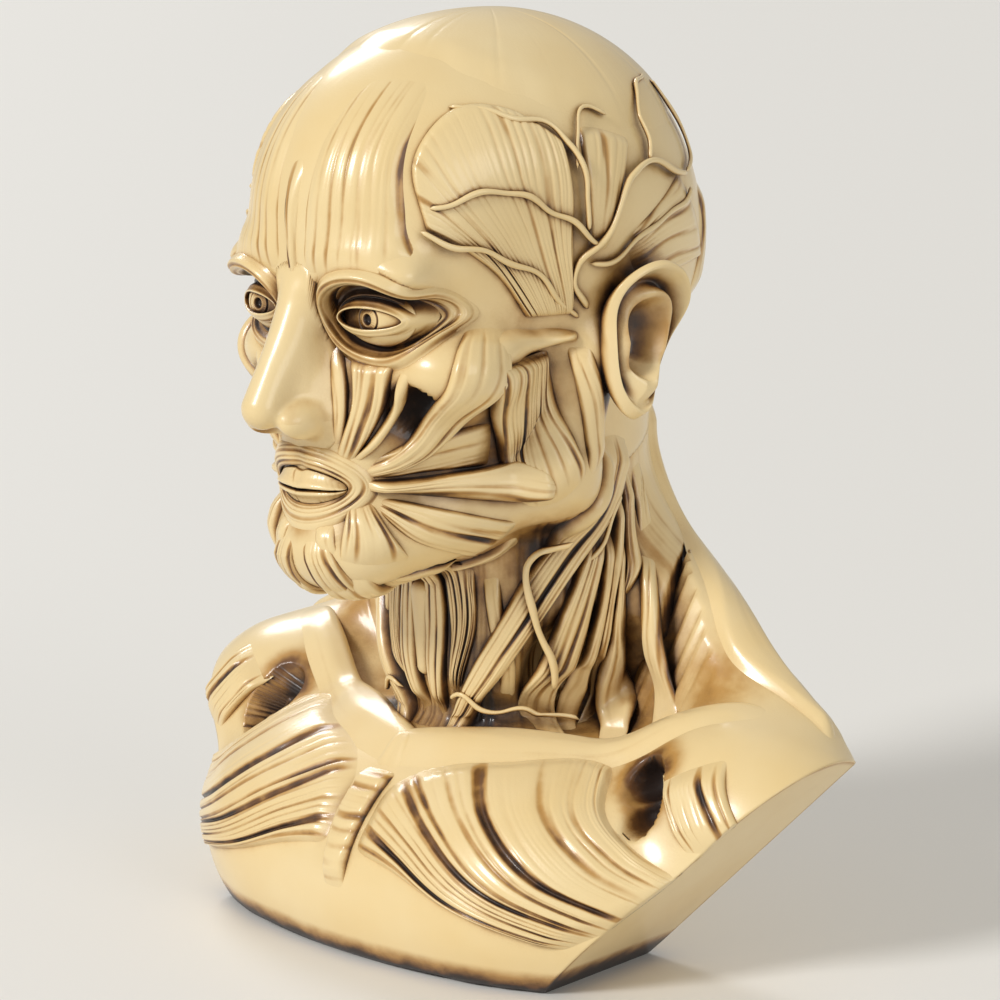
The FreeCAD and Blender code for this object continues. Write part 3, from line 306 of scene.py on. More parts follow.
# Random draws of the carving: how far a line wanders, in spacings, and how often along the muscle,
# where its waves start, how strong it is, and how often it fades, to this share at least
GROOVE_NUMBERS = 64
WANDER, WANDER_PACE, WAVE_START = (0.02, 0.10), (4, 9), (0, 6.3)
STRENGTH, FADE_PACE, LEAST_FADE = (0.35, 1.0), (3, 9), 0.25
# The sway that all lines of a muscle share: how many waves, how far in metres, and how often
SWAYS, SWAY, SWAY_PACE = 3, (0.0001, 0.0004), (2, 8)


def grooves(across, along, spacing, depth, rng, share, width):
    """Depth of a bundle of carved lines: narrow valleys one spacing apart across the muscle. Each has
    its own strength, and fades in and out along its length."""
    wander = rng.uniform(*WANDER) * np.sin(rng.uniform(*WANDER_PACE) * along + rng.uniform(*WAVE_START))
    phase = across / spacing + wander + rng.uniform(0, 1)
    number = np.round(phase).astype(int) % GROOVE_NUMBERS
    strength = rng.uniform(*STRENGTH, GROOVE_NUMBERS) * (rng.uniform(0, 1, GROOVE_NUMBERS) < share)
    pace = rng.uniform(*FADE_PACE, GROOVE_NUMBERS)
    start = rng.uniform(*WAVE_START, GROOVE_NUMBERS)
    fade = LEAST_FADE + (1 - LEAST_FADE) * (0.5 + 0.5 * np.sin(pace[number] * along + start[number]))
    return depth * strength[number] * fade * bump(phase - np.round(phase), 0, width)


# Kinds of carving: layers of spacing, depth, share of the lines that show, and width of a line
CARVING = {
    "coarse": [(0.0005, 0.00007, 1.0, 0.25), (0.0010, 0.00024, 0.9, 0.20), (0.0024, 0.00055, 0.8, 0.15),
               (0.0058, 0.00100, 0.6, 0.08)],
    "medium": [(0.0005, 0.00007, 1.0, 0.25), (0.0010, 0.00022, 0.9, 0.20), (0.0022, 0.00045, 0.8, 0.14),
               (0.0052, 0.00070, 0.5, 0.07)],
    "fine": [(0.0005, 0.00006, 1.0, 0.25), (0.0009, 0.00016, 0.9, 0.20), (0.0026, 0.00030, 0.7, 0.11)],
    "temple": [(0.0006, 0.00007, 1.0, 0.25), (0.0013, 0.00018, 0.9, 0.20), (0.0045, 0.00040, 0.6, 0.12)],
    "brow": [(0.0010, 0.00010, 1.0, 0.25), (0.0027, 0.00055, 1.0, 0.15), (0.0066, 0.00080, 0.8, 0.08)],
    "chest": [(0.0008, 0.00010, 1.0, 0.25), (0.0019, 0.00030, 0.9, 0.18), (0.0040, 0.00052, 0.7, 0.14),
              (0.0105, 0.00135, 0.6, 0.07)],
    "ring": [(0.0005, 0.00006, 1.0, 0.25), (0.0011, 0.00026, 1.0, 0.24), (0.0023, 0.00042, 0.9, 0.14)],
    "smooth": [(0.0014, 0.00004, 0.8, 0.25), (0.0060, 0.00016, 0.5, 0.12)],
    "ledge": [(0.0016, 0.00003, 0.8, 0.25), (0.0060, 0.00008, 0.5, 0.12)],
    "beads": [(0.0012, 0.00016, 0.9, 0.22), (0.0032, 0.00090, 1.0, 0.24)],
}
# The depth of carving that holds a full line of wash
WASH_DEPTH = 0.00050
# A line of this width takes wash by its depth alone, and a narrower one takes more, by this power
EVEN_WIDTH, NARROW_GAIN = 0.12, 0.7


def carved(across, along, kind, seed, scale=1.0):
    """Depth of the fibres and slits of one muscle, and how much wash settles in them."""
    rng = np.random.default_rng(seed)
    depth = wash = 0
    for _ in range(SWAYS):
        far, pace, start = rng.uniform(*SWAY), rng.uniform(*SWAY_PACE), rng.uniform(*WAVE_START)
        across = across + far * np.sin(pace * along + start)
    for spacing, deep, share, width in CARVING[kind]:
        line = grooves(across, along, spacing, deep * scale, rng, share, width)
        depth = depth + line
        wash = wash + line * (EVEN_WIDTH / width) ** NARROW_GAIN
    return depth, np.clip(wash / WASH_DEPTH, 0, 1)


# ---------------------------------------------------------------- meshes

def tube_faces(rows, columns):
    """Quads of a grid that closes round its columns, and triangles to a point at both ends."""
    u, v = np.meshgrid(np.arange(rows - 1), np.arange(columns), indexing="ij")
    a = u * columns + v
    b = u * columns + (v + 1) % columns
    quads = np.stack([a, b, b + columns, a + columns], -1).reshape(-1, 4)
    ring = np.arange(columns)
    after = (ring + 1) % columns
    first, last = rows * columns, rows * columns + 1
    end = (rows - 1) * columns
    start_fan = np.stack([np.full(columns, first), after, ring], -1)
    end_fan = np.stack([np.full(columns, last), end + ring, end + after], -1)
    return quads, np.vstack([start_fan, end_fan])


def ring_faces(rows, columns):
    """Quads of a grid that closes round its rows and its columns."""
    u, v = np.meshgrid(np.arange(rows), np.arange(columns), indexing="ij")
    a = u * columns + v
    b = u * columns + (v + 1) % columns
    c = (u + 1) % rows * columns
    quads = np.stack([a, b, c + (v + 1) % columns, c + v], -1).reshape(-1, 4)
    return quads, np.zeros((0, 3), int)


def shell(points, wash, looped=False):
    """A closed shell from a grid of points: places, wash and faces that point outwards."""
    rows, columns = points.shape[:2]
    flat, wash_and_shade = points.reshape(-1, 3), wash.reshape(-1)
    if looped:
        quads, fans = ring_faces(rows, columns)
    else:
        quads, fans = tube_faces(rows, columns)
        flat = np.vstack([flat, points[0].mean(0), points[-1].mean(0)])
        wash_and_shade = np.concatenate([wash_and_shade, [wash[0].mean(), wash[-1].mean()]])
    triangles = np.vstack([quads[:, [0, 1, 2]], quads[:, [0, 2, 3]], fans])
    a, b, c = (flat[triangles[:, k]] - flat.mean(0) for k in range(3))
    if (a * np.cross(b, c)).sum() < 0:
        quads, fans = quads[:, ::-1], fans[:, ::-1]
    return flat, wash_and_shade, quads, fans


def mirror(part):
    """The same shell on the other side, turned so that its faces still point outwards."""
    flat, wash_and_shade, quads, fans = part
    return flat * (-1, 1, 1), wash_and_shade, quads[:, ::-1], fans[:, ::-1]


def build_piece(name, parts, node, material):
    """One object from several shells, at the origin, in place of its CAD node."""
    places, washes_and_shades, corners, sizes, start = [], [], [], [], 0
    for flat, wash_and_shade, quads, fans in parts:
        places.append(flat)
        washes_and_shades.append(wash_and_shade)
        for faces in (quads, fans):
            corners.append((faces + start).reshape(-1))
            sizes.append(np.full(len(faces), faces.shape[1]))
        start += len(flat)
    places, washes_and_shades = np.vstack(places), np.concatenate(washes_and_shades)
    corners, sizes = np.concatenate(corners), np.concatenate(sizes)
    mesh = bpy.data.meshes.new(name)
    mesh.vertices.add(len(places))
    mesh.vertices.foreach_set("co", places.astype(np.float32).ravel())
    mesh.loops.add(len(corners))
    mesh.loops.foreach_set("vertex_index", corners.astype(np.int32))
    mesh.polygons.add(len(sizes))
    starts = np.concatenate([[0], np.cumsum(sizes)[:-1]])
    mesh.polygons.foreach_set("loop_start", starts.astype(np.int32))
    mesh.polygons.foreach_set("use_smooth", np.ones(len(sizes), bool))
    mesh.update(calc_edges=True)
    # The wash attribute holds the carved lines' wash, and wash and painted shade in the hollows, gaps, edges
    # and undersides
    layer = mesh.attributes.new("wash", "FLOAT", "POINT")
    layer.data.foreach_set("value", washes_and_shades.astype(np.float32))
    if mesh.validate():
        raise RuntimeError(name + " has faulty faces")
    piece = bpy.data.objects.new(name, mesh)
    bpy.context.scene.collection.objects.link(piece)
    mesh.materials.append(material)
    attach(piece, BODY)
    if node:
        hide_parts(node)
    return piece


def build_pair(name, parts, material):
    """A left piece and its mirror image on the right, each in place of its own node."""
    build_piece("carved_" + name + "_l", parts, name + "_l", material)
    build_piece("carved_" + name + "_r", [mirror(p) for p in parts], name + "_r", material)


# ---------------------------------------------------------------- flat cuts

SHOULDER_TIP = place(BUST, 1.0, 0.70, 0.59)
BASE_BACK = place(BUST, 0.525, 0.20, 0.0)
BASE_FRONT = place(BUST, 0.56, -0.45, 0.0)
ARM_OUT = unit(np.cross(BASE_FRONT - SHOULDER_TIP, BASE_BACK - SHOULDER_TIP))
BACK_OUT = unit(np.array((0, SHOULDER_TIP[2] - BASE_BACK[2], BASE_BACK[1] - SHOULDER_TIP[1])))
# Muscle ends stand this far over the flat cuts, so that both faces never share a place
CUT_PROUD = 0.00006
BASE_PROUD = 0.0002


def held_in(points):
    """Points beyond a flat cut, moved back onto it: the arms' cuts, the back and the base."""
    for on, out in ((SHOULDER_TIP, ARM_OUT), (BASE_BACK, BACK_OUT)):
        beyond = np.maximum((points - on) @ out - CUT_PROUD, 0)
        points = points - beyond[..., None] * out
    points[..., 2] = np.maximum(points[..., 2], BASE_PROUD)
    return points


# ---------------------------------------------------------------- straps, sheets, rings and tubes

# Edges start this far below the field, and undersides lie deeper still
SINK = 0.0005
UNDERSIDE = -1.5 * SINK
UNDER_COLUMNS = 7


def section(count):
    """Places across a muscle from -1 to 1 over the top, closer together at its edges, and back
    underneath, with a mark for the underside."""
    over = np.sin(np.linspace(-1, 1, count) * math.pi / 2)
    under = np.linspace(1, -1, UNDER_COLUMNS + 2)[1:-1]
    return np.concatenate([over, under]), np.concatenate([np.zeros(count), np.ones(UNDER_COLUMNS)])


def end_rounding(distance, radius):
    """Quarter circle from 0 at an end to 1 one radius in."""
    near = np.clip(1 - distance / radius, 0, 1)
    return np.sqrt(1 - near * near)


# Stations are cast from the head's and the neck's axes, and in the chest from this far back
AXIS_STARTS = {HEAD: (0.0, 0.0), NECK: (0.0, NECK_SET_BACK)}
CHEST_START = 0.012


def spot(field, frame_name, station):
    """A station on the body. Two numbers are a turn in degrees from straight ahead and a height share,
    cast out from the head's or neck's own axis, or a width share and a height share, cast forwards
    through the chest. Three are a place in shares, which then settles onto the field."""
    if len(station) == 3:
        return settle(field, place(frame_name, *station), 6)[0]
    if frame_name == BUST:
        x, _, z = place(BUST, station[0], 0, station[1])
        return cast(field, np.array((x, CHEST_START, z)), np.array((0.0, -1.0, 0.0)), 2 * CHEST_HALF_DEPTH)
    turn = math.radians(station[0])
    height = place(frame_name, 0, 0, station[1])[2]
    way = np.array((math.sin(turn), -math.cos(turn), 0.0))
    return cast(field, np.array(AXIS_STARTS[frame_name] + (height,)), way, 2 * HEAD_HALF_LENGTH)


def bump(value, middle, width):
    """A smooth bell of height 1 about the middle."""
    return np.exp(-(((value - middle) / width) ** 2))


def smooth_step(value):
    """An S-shaped rise from 0 at 0 to 1 at 1."""
    value = np.clip(value, 0, 1)
    return value * value * (3 - 2 * value)


BLUNT_END = 0.0022
END_STAND = 0.0002
# How far the other kinds of end take to rise
END_RISES = {"soft": 0.0040, "melt": 0.0075, "fade": 0.0170, "long": 0.0360}


def end_shape(distance, style):
    """How a muscle's height grows from its end: round when blunt, slowly when it melts into the rest."""
    if style == "blunt":
        return end_rounding(distance, BLUNT_END)
    return smooth_step((distance + END_STAND) / END_RISES[style])


# How wide the sides of the slowly rolled kinds are, and of the rest
SIDE_ROLL = {"smooth": 0.0044, "brow": 0.0058, "chest": 0.0036}
# A ledge has a small roll on its first side, and slopes away over this share of its width on the other
LEDGE_ROLL, LEDGE_SLOPE = 0.0022, 0.72
PLAIN_ROLL = 0.0012
# A strap's own roll stays this much narrower than the strap
ROLL_LIMIT = 2.2
# The side edges wave by this much, at a random pace in radians to a metre
EDGE_RIPPLE, RIPPLE_PACE, RIPPLE_START, RIPPLE_SEED = 0.00035, (250, 600), (0, 6), 500
LEAST_CELLS = 14
# Shares of the height at the side edges, and more towards the middle, and the wash and painted shade along
# the edges
EDGE_HEIGHT, MIDDLE_RISE, EDGE_WASH_AND_SHADE = 0.8, 0.2, 0.6
# Half the width that the lines across a beaded piece wander over, as carved lines do over 1
BEAD_WANDER = 0.12
# A neck strap's foot turns down onto the core over this length, by no more than this drop
FOOT_LENGTH, LONGEST_DROP = 0.0140, 0.0060


def side_shape(kind, s, width, ripple):
    """How a muscle's height rises from its side edges: over a quarter circle, or in a slow roll where
    its kind has one. A ledge rises at once on its first side and slopes away on the other."""
    if kind == "ledge":
        return end_rounding((1 + s) * width / 2, LEDGE_ROLL) * smooth_step((1 - s) / 2 / LEDGE_SLOPE)
    edge = np.minimum(SIDE_ROLL.get(kind, PLAIN_ROLL), width / ROLL_LIMIT)
    inward = (1 - np.abs(s)) * width / 2 + ripple * (np.abs(s) > 0.5) * (1 - np.abs(s))
    return smooth_step(inward / edge) if kind in SIDE_ROLL else end_rounding(inward, edge)


def turned_down(foot, from_end):
    """A neck strap's last stretch, brought down onto the core by a smooth step along its length."""
    low, _ = settle(core_surface, foot, 6)
    drop = np.clip(low - foot, -LONGEST_DROP, LONGEST_DROP)
    return foot + drop * smooth_step(1 - from_end / FOOT_LENGTH)[:, None, None]


def net(frame_name, rails, thickness, kind, seed, ends, lift, field):
    """A sheet of muscle through a net of stations. It is a Catmull-Rom patch across and then along the
    rails, settled onto the field. Its fibres run with the rails, or across them on a beaded piece, and
    its height rises from the side edges and the ends, and less the fibres' depth."""
    stations = np.array([[spot(field, frame_name, s) for s in rail] for rail in rails])
    spread = np.linalg.norm(np.diff(stations, axis=0), axis=-1).sum(0)
    reach = np.linalg.norm(np.diff(stations, axis=1), axis=-1).mean(0)
    length = reach.sum()
    plain = kind in ("smooth", "ledge")
    along_cell, across_cell = (SMOOTH_CELL, SMOOTH_CELL) if plain else (FINE_ALONG, FINE_ACROSS)
    s, under = section(max(LEAST_CELLS, int(spread.max() / across_cell)))
    across = spline(stations, (1 + s) / 2 * (len(rails) - 1))
    even = np.linspace(0, length, max(LEAST_CELLS, int(length / along_cell)))
    t = np.interp(even, np.concatenate([[0], np.cumsum(reach)]), np.arange(len(reach) + 1))
    foot, normal = settle(field, spline(across.transpose(1, 0, 2), t), 4)
    if frame_name == NECK:
        foot = turned_down(foot, length - even)
    width = np.interp(t, np.arange(len(spread)), spread)[:, None]
    even = even[:, None]
    rng = np.random.default_rng(seed + RIPPLE_SEED)
    ripple = EDGE_RIPPLE * np.sin(rng.uniform(*RIPPLE_PACE) * even + rng.uniform(*RIPPLE_START))
    side = side_shape(kind, s, width, ripple)
    first, last = end_shape(even, ends[0]), end_shape(length - even, ends[1])
    crown = side * first * last
    if kind == "beads":
        groove, wash = carved(even + 0 * s, BEAD_WANDER * s + 0 * even, kind, seed)
    else:
        groove, wash = carved(s * spread.mean() / 2, even / length + 0 * s, kind, seed)
    full = thickness * (EDGE_HEIGHT + MIDDLE_RISE * (1 - s * s))
    height = (SINK + lift + full) * crown - SINK - groove * crown ** 2
    height = np.where(under > 0, UNDERSIDE, height)
    # The side edges, where the muscle meets the body, are darkened with wash and painted shade
    if kind not in SIDE_ROLL and kind != "ledge":
        wash = wash + EDGE_WASH_AND_SHADE * (1 - side) ** 2
    return shell(held_in(foot + normal * height[..., None]), wash * first * last)


FACE_COLUMNS = 340
EYE_ROWS, MOUTH_ROWS, LIPS_ROWS, LID_ROWS = 80, 70, 56, 64
# Middles of the rings as shares of the head's half width and height
EYE_SPOT, MOUTH_SPOT, LIPS_SPOT = (0.415, 0.500), (0, 0.200), (0, 0.196)
# Ovals in the same shares: half width, heights above and below, and pinch
EYE_INNER, EYE_OUTER = (0.215, 0.044, 0.042), (0.312, 0.100, 0.100, 0.9)
MOUTH_INNER, MOUTH_OUTER = (0.250, 0.032, 0.037, 1.2), (0.400, 0.092, 0.096)
LIPS_INNER, LIPS_OUTER = (0.230, 0.0006, 0.0006), (0.262, 0.036, 0.041, 1.3)
LID_OPENING, LID_EDGE = (0.178, 0.0205, 0.0160, 1.2), (0.262, 0.064, 0.060)
# Widths in metres that the fibres are spread over, and how thick the rings are behind their tops
EYE_REACH, MOUTH_REACH, LIPS_REACH = 0.0058, 0.0066, 0.0090
EYE_BACK, MOUTH_BACK, BACK_STEPS = 0.0012, 0.0010, 7
EYE_SEED, MOUTH_SEED, LIPS_SEED = 31, 32, 45
EYE_LINES = 1.5


def oval(turn, width, above, below, pinch=1.0):
    """Width and height shares of an oval with its own heights above and below. A pinch over 1 draws
    its two corners to points."""
    sine = np.sin(turn)
    tall = np.where(sine > 0, above, below) * np.sign(sine) * np.abs(sine) ** pinch
    return np.stack([width * np.cos(turn), tall], -1)


def face_grid(rows):
    """Turns round a ring of the face as a column, and shares from its inner to its outer edge as a row."""
    return np.linspace(0, 2 * math.pi, FACE_COLUMNS, False)[:, None], np.linspace(0, 1, rows)[None]


def between(inner, outer, share):
    """Places on the straight ways from one oval to another."""
    return inner * (1 - share)[..., None] + outer * share[..., None]


def ring_lines(turn, share, reach, kind, seed, scale=1.0):
    """Fibres that run round a ring, over its reach in metres."""
    return carved(share * reach + 0 * turn, 0.5 + 0.5 * np.sin(turn) + 0 * share, kind, seed, scale)


def face_ring(centre, inner, outer, share, height):
    """The top of a ring about a place of the face: straight from the inner oval to the outer one, cast
    forwards onto the face, and raised along its normal by the height."""
    flat = between(inner, outer, share)
    start = np.stack([(centre[0] + flat[..., 0]) * HEAD_HALF_WIDTH, 0 * flat[..., 0],
                      CHIN_HEIGHT + (centre[1] + flat[..., 1]) * HEAD_HEIGHT], -1)
    foot, normal = settle(envelope, cast_front(start), 3)
    return foot + normal * height[..., None]


def closed_ring(top, wash, thickness):
    """A shell from the top of a ring, with an underside that lies one thickness or more behind it."""
    back = np.array((0, thickness, 0))
    share = np.linspace(1, 0, BACK_STEPS)[None, :, None]
    under = (top[:, :1] * (1 - share) + top[:, -1:] * share) + back
    columns = np.linspace(top.shape[1] - 1, 0, BACK_STEPS).astype(int)
    under = np.maximum(under, top[:, columns] + back) * (0, 1, 0) + top[:, columns] * (1, 0, 1)
    return shell(np.concatenate([top, under], 1), np.concatenate([wash, wash[:, columns]], 1), looped=True)


def socket_depth(turn):
    """How deep the eye ring's inner edge lies: most above the eye and beside the nose, and over the face
    towards the temple."""
    side = np.cos(turn)
    near_nose, above = 0.0016 * np.clip(-side, 0, 1), 0.0020 * np.clip(np.sin(turn), 0, 1)
    return 0.0010 + above + near_nose - 0.0024 * np.clip(side, 0, 1) ** 2


def eye_ring(thickness):
    """The ring muscle of the eye: a bowl that rises from the socket over concentric fibres to a thick
    outer fold, lower towards the temple, then rolls down to the face."""
    turn, share = face_grid(EYE_ROWS)
    lines, wash = ring_lines(turn, share, EYE_REACH, "ring", EYE_SEED, EYE_LINES)
    bowl = smooth_step(share / 0.50)
    fold = 0.75 + 0.35 * bump(share, 0.58, 0.16) - 0.20 * bump(share, 0.36, 0.06)
    outwards = np.clip(np.cos(turn), 0, 1) * np.clip(0.4 + np.sin(turn), 0, 1)
    roll = smooth_step((1 - share) / 0.42)
    body = (thickness * fold * (1 - 0.45 * outwards) + SINK) * roll - SINK
    height = -socket_depth(turn) * (1 - bowl) + body * bowl - lines * roll * (0.5 + 0.5 * bowl)
    top = face_ring(EYE_SPOT, oval(turn, *EYE_INNER), oval(turn, *EYE_OUTER), share, height)
    # Wash and painted shade darken the outer border and the socket, most above the eye
    above = 0.2 + 0.8 * np.clip(np.sin(turn), 0, 1)
    edge = 0.25 * bump(share, 0.96, 0.05) + 0.25 * (1 - smooth_step(share / 0.42)) * above
    return closed_ring(top, np.clip(wash + edge, 0, 1), EYE_BACK)


def mouth_ring(thickness):
    """The ring muscle of the mouth: concentric fibres from the border of the lips out to a rim that
    melts into the cheeks, with a shallow trough above the upper lip."""
    turn, share = face_grid(MOUTH_ROWS)
    lines, wash = ring_lines(turn, share, MOUTH_REACH, "medium", MOUTH_SEED)
    roll = smooth_step((1 - share) / 0.65)
    trough = bump(np.cos(turn), 0.0, 0.16) * (np.sin(turn) > 0)
    body = (thickness * (1 - 0.45 * trough) + SINK) * roll - SINK
    height = body - lines * roll - 0.0004 * (1 - smooth_step(share / 0.15))
    top = face_ring(MOUTH_SPOT, oval(turn, *MOUTH_INNER), oval(turn, *MOUTH_OUTER), share, height)
    # Wash and painted shade darken the inner border, by the lips
    edge = 0.35 * (1 - smooth_step(share / 0.12)) + 0 * turn
    return closed_ring(top, np.clip(wash + edge, 0, 1), MOUTH_BACK)


def lips_form(fullness):
    """Closed lips: an oval about the mouth's line. The height dips at the line, swells over each lip
    and ends in a fine border, and the upper border has its bow."""
    turn, share = face_grid(LIPS_ROWS)
    inner, outer = oval(turn, *LIPS_INNER), oval(turn, *LIPS_OUTER)
    outer[..., 1] -= 0.006 * bump(outer[..., 0], 0, 0.035) * (np.sin(turn) > 0)
    inner[..., 1] -= 0.002 * bump(inner[..., 0], 0, 0.05)
    lines, wash = carved(np.cos(turn) * LIPS_REACH + 0 * share, share + 0 * turn, "fine", LIPS_SEED)
    tall = np.abs(np.sin(turn)) ** 0.6
    swell = 0.85 - 0.85 * smooth_step((share - 0.10) / 0.90) + 0.25 * bump(share, 0.28, 0.20)
    dip = 0.0010 * bump(share, 0.0, 0.055) + 0.0005 * (1 - tall)
    border = 0.0010 * smooth_step((share - 0.84) / 0.16)
    height = 0.0004 + swell * tall * fullness - dip - 0.4 * lines * tall - border
    top = face_ring(LIPS_SPOT, inner, outer, share, height)
    # Wash and painted shade darken the mouth's line and the outer border
    edge = 0.7 * bump(share, 0.0, 0.035) + 0.3 * bump(share, 0.98, 0.05) + 0 * turn
    return closed_ring(top, np.clip(0.5 * wash + edge, 0, 1), MOUTH_BACK)


VESSEL_SIDES = 14
VESSEL_SWAY, SWAY_WAVES = 0.00045, (380, 560)
VESSEL_SWELL, SWELL_WAVES = 0.12, (300, 600)
# The middle stands over the body by this share of the radius, and the underside, towards the body, is
# painted this much darker with wash and painted shade
VESSEL_STAND, VESSEL_UNDERSIDE_SHADE = 0.55, 0.7


def vessel(frame_name, stations, sizes, radius_share, seed):
    """A tube round a smooth line over the body. Its radius swells and narrows a little, and it closes
    to a point at both ends."""
    places, _ = settle(envelope, np.array([place(frame_name, *s[:3]) for s in stations]), 6)
    lifts = np.array([[s[3]] for s in stations]) * sizes.muscle_thickness
    route, length = smooth_line(np.hstack([places, lifts]), 2 * FINE_ALONG)
    foot, out = settle(envelope, route[:, :3], 3)
    rng = np.random.default_rng(seed)
    along = np.linspace(0, length, len(route))
    swell = VESSEL_SWELL * np.sin(rng.uniform(*SWELL_WAVES) * along + rng.uniform(*RIPPLE_START))
    radius = radius_share * sizes.vessel_radius * (1 + swell)
    sway = VESSEL_SWAY * np.sin(rng.uniform(*SWAY_WAVES) * along + rng.uniform(*RIPPLE_START))
    radius = radius * np.clip(end_rounding(np.minimum(along, length - along), 3 * radius), 0.05, 1)
    across = unit(np.cross(np.gradient(foot, axis=0), out))
    centre = foot + out * (route[:, 3] + VESSEL_STAND * radius)[:, None] + across * sway[:, None]
    angles = np.linspace(0, 2 * math.pi, VESSEL_SIDES, False)
    around = across[:, None] * np.cos(angles)[:, None] + out[:, None] * np.sin(angles)[:, None]
    # The side that faces the body is darkened with wash and painted shade
    low = np.clip(-np.sin(angles), 0, 1) + 0 * radius[:, None]
    return shell(centre[:, None] + around * radius[:, None, None], VESSEL_UNDERSIDE_SHADE * low)


def star(field, centre, grid, longest, wash=None):
    """A closed form seen from a centre inside: rays by tilt and turn end on the field."""
    points = cast(field, centre, rays(*grid), longest)
    return shell(points, np.zeros(points.shape[:2]) if wash is None else wash(points))


# ---------------------------------------------------------------- cores

# Places where brown wash and painted shade pool in the hollows, pits and gaps: frame, place, radius in
# metres, and how much
WASH_AND_SHADE_POOLS = [
    (HEAD, (0.415, -0.86, 0.500), 0.0085, 1.0), (HEAD, (0.50, -0.69, 0.322), 0.0074, 1.3),
    (HEAD, (0.60, -0.46, 0.280), 0.0068, 1.0), (HEAD, (0.25, -0.98, 0.375), 0.0035, 0.9),
    (HEAD, (0.92, -0.16, 0.350), 0.0060, 0.6), (HEAD, (0.95, 0.05, 0.350), 0.0060, 0.7),
    (HEAD, (0.90, -0.35, 0.480), 0.0050, 0.5), (HEAD, (0.60, -0.72, 0.130), 0.0050, 0.5),
    (HEAD, (0.14, -1.00, 0.265), 0.0025, 0.8), (HEAD, (0, -0.98, 0.135), 0.0040, 0.6),
    (HEAD, (0.30, -0.95, 0.150), 0.0035, 0.8), (HEAD, (0.98, 0.35, 0.400), 0.0070, 0.5),
    (NECK, (1.00, 0.40, 0.80), 0.0100, 0.6), (NECK, (1.30, 0.60, 0.80), 0.0110, 0.55),
    (NECK, (0.60, -0.80, 0.62), 0.0080, 0.8), (NECK, (1.20, 0.00, 0.62), 0.0120, 0.7),
    (NECK, (0.30, -1.00, 1.00), 0.0090, 0.6), (NECK, (0.80, -0.60, 1.10), 0.0120, 0.7),
    (BUST, (0.655, -0.08, 0.540), 0.0062, 1.8), (BUST, (0.695, -0.17, 0.478), 0.0050, 1.3),
    (BUST, (0.62, 0.40, 0.740), 0.0120, 0.5), (BUST, (0.50, -0.92, 0.195), 0.0040, 0.3),
]


def wash_and_shade(points, base=0.0):
    """Wash and painted shade on a core: pools that fade with distance, on both sides, over an even film."""
    points = folded(points)
    wash = np.full(points.shape[:-1], base)
    for frame_name, where, radius, level in WASH_AND_SHADE_POOLS:
        away = ((points - place(frame_name, *where)) ** 2).sum(-1)
        wash = np.maximum(wash, level * np.exp(-away / radius ** 2))
    return np.clip(wash, 0, 1)


JAW_LOW = place(HEAD, 0, -0.94, -0.01)
JAW_UP = unit(np.array((0, -0.344, 1.0)))
CORE_CENTRE = place(HEAD, 0, 0.14, 0.50)
HEAD_GRID = (194, 320)
NECK_GRID = (160, 310)
CHEST_GRID = (240, 240)
NECK_SINK = 0.0003
EDGE_ROUNDING = 0.0010
# Longer than any ray of the cores, in metres
HEAD_REACH, NECK_REACH, CHEST_REACH = 0.09, 0.036, 0.12
# The neck's lowest and highest ring as shares of the chin's height, its film and lines of wash, and
# how much of its fibres' depth is carved
NECK_LEVELS = 0.50, 1.43
NECK_FILM, NECK_LINES, NECK_CARVING, NECK_SEED = 0.22, 0.6, 0.8, 77
NECK_SKIN = 0.00005
# The chest's rays are gathered where its section bends most: how much, and towards which turn
GATHER, GATHER_TURN = 0.35, 2.2
# Painted shade along the base, by the floor: how much, and how high it fades. Wash on the arm cuts: film,
# rim and its width
BASE_SHADE, BASE_SHADE_HEIGHT = 0.75, 0.0016
CUT_FILM, CUT_RIM, CUT_RIM_WIDTH = 0.10, 0.55, 0.03


def core_of_head():
    """The skull and jaw: rays by tilt and turn from a centre in the skull, down to the jaw's joint."""
    def value(points):
        return np.maximum(core_surface(points), (JAW_LOW - points) @ JAW_UP)

    points = body_rays(value, CORE_CENTRE, rays(*HEAD_GRID), HEAD_REACH)
    return shell(points, wash_and_shade(points))


def core_of_neck():
    """The neck: level rings about its axis from inside the chest up into the skull, with fibres that run
    down it. Where the chest or the skull has the same surface it lies a little below it, its rays are
    evened out three times, and its guessed back is bare."""
    rows, columns = NECK_GRID
    level = np.linspace(*NECK_LEVELS, rows)[:, None] * CHIN_HEIGHT
    turn = np.linspace(0, 2 * math.pi, columns, False)[None]
    centres = np.stack([0 * level, 0 * level + NECK_SET_BACK, level], -1)
    ways = np.stack([np.sin(turn), -np.cos(turn), 0 * turn], -1) + 0 * centres

    def value(points):
        deep = core_surface(points) + NECK_SKIN
        shared = smooth_step(1 - (chest_surface(points) - deep) / NECK_SINK)
        above = smooth_step((points - JAW_LOW) @ JAW_UP / NECK_SINK + 1)
        behind = (points - BASE_BACK) @ BACK_OUT + NECK_SINK
        return np.maximum(deep + NECK_SINK * np.maximum(shared, above), behind)

    reach = np.linalg.norm(cast(value, centres, ways, NECK_REACH) - centres, axis=-1)
    for _ in range(3):
        reach = (np.roll(reach, 1, 1) + 2 * reach + np.roll(reach, -1, 1)) / 4
        reach[1:-1] = (reach[:-2] + 2 * reach[1:-1] + reach[2:]) / 4
    points = centres + ways * reach[..., None]
    lines, wash = carved(turn * NECK_RADIUS + 0 * level, level / CHIN_HEIGHT + 0 * turn, "coarse", NECK_SEED)
    bare = 1 - 0.85 * smooth_step((-np.cos(turn) - 0.25) / 0.4)
    points = points - ways * (NECK_CARVING * bare * lines)[..., None]
    return shell(points, np.clip(wash_and_shade(points, NECK_FILM) + NECK_LINES * wash, 0, 1) * bare)


def rounded_max(value, other, rounding):
    """The larger of two values, with the edge between them rounded."""
    return -blend_in(-value, -other, rounding)


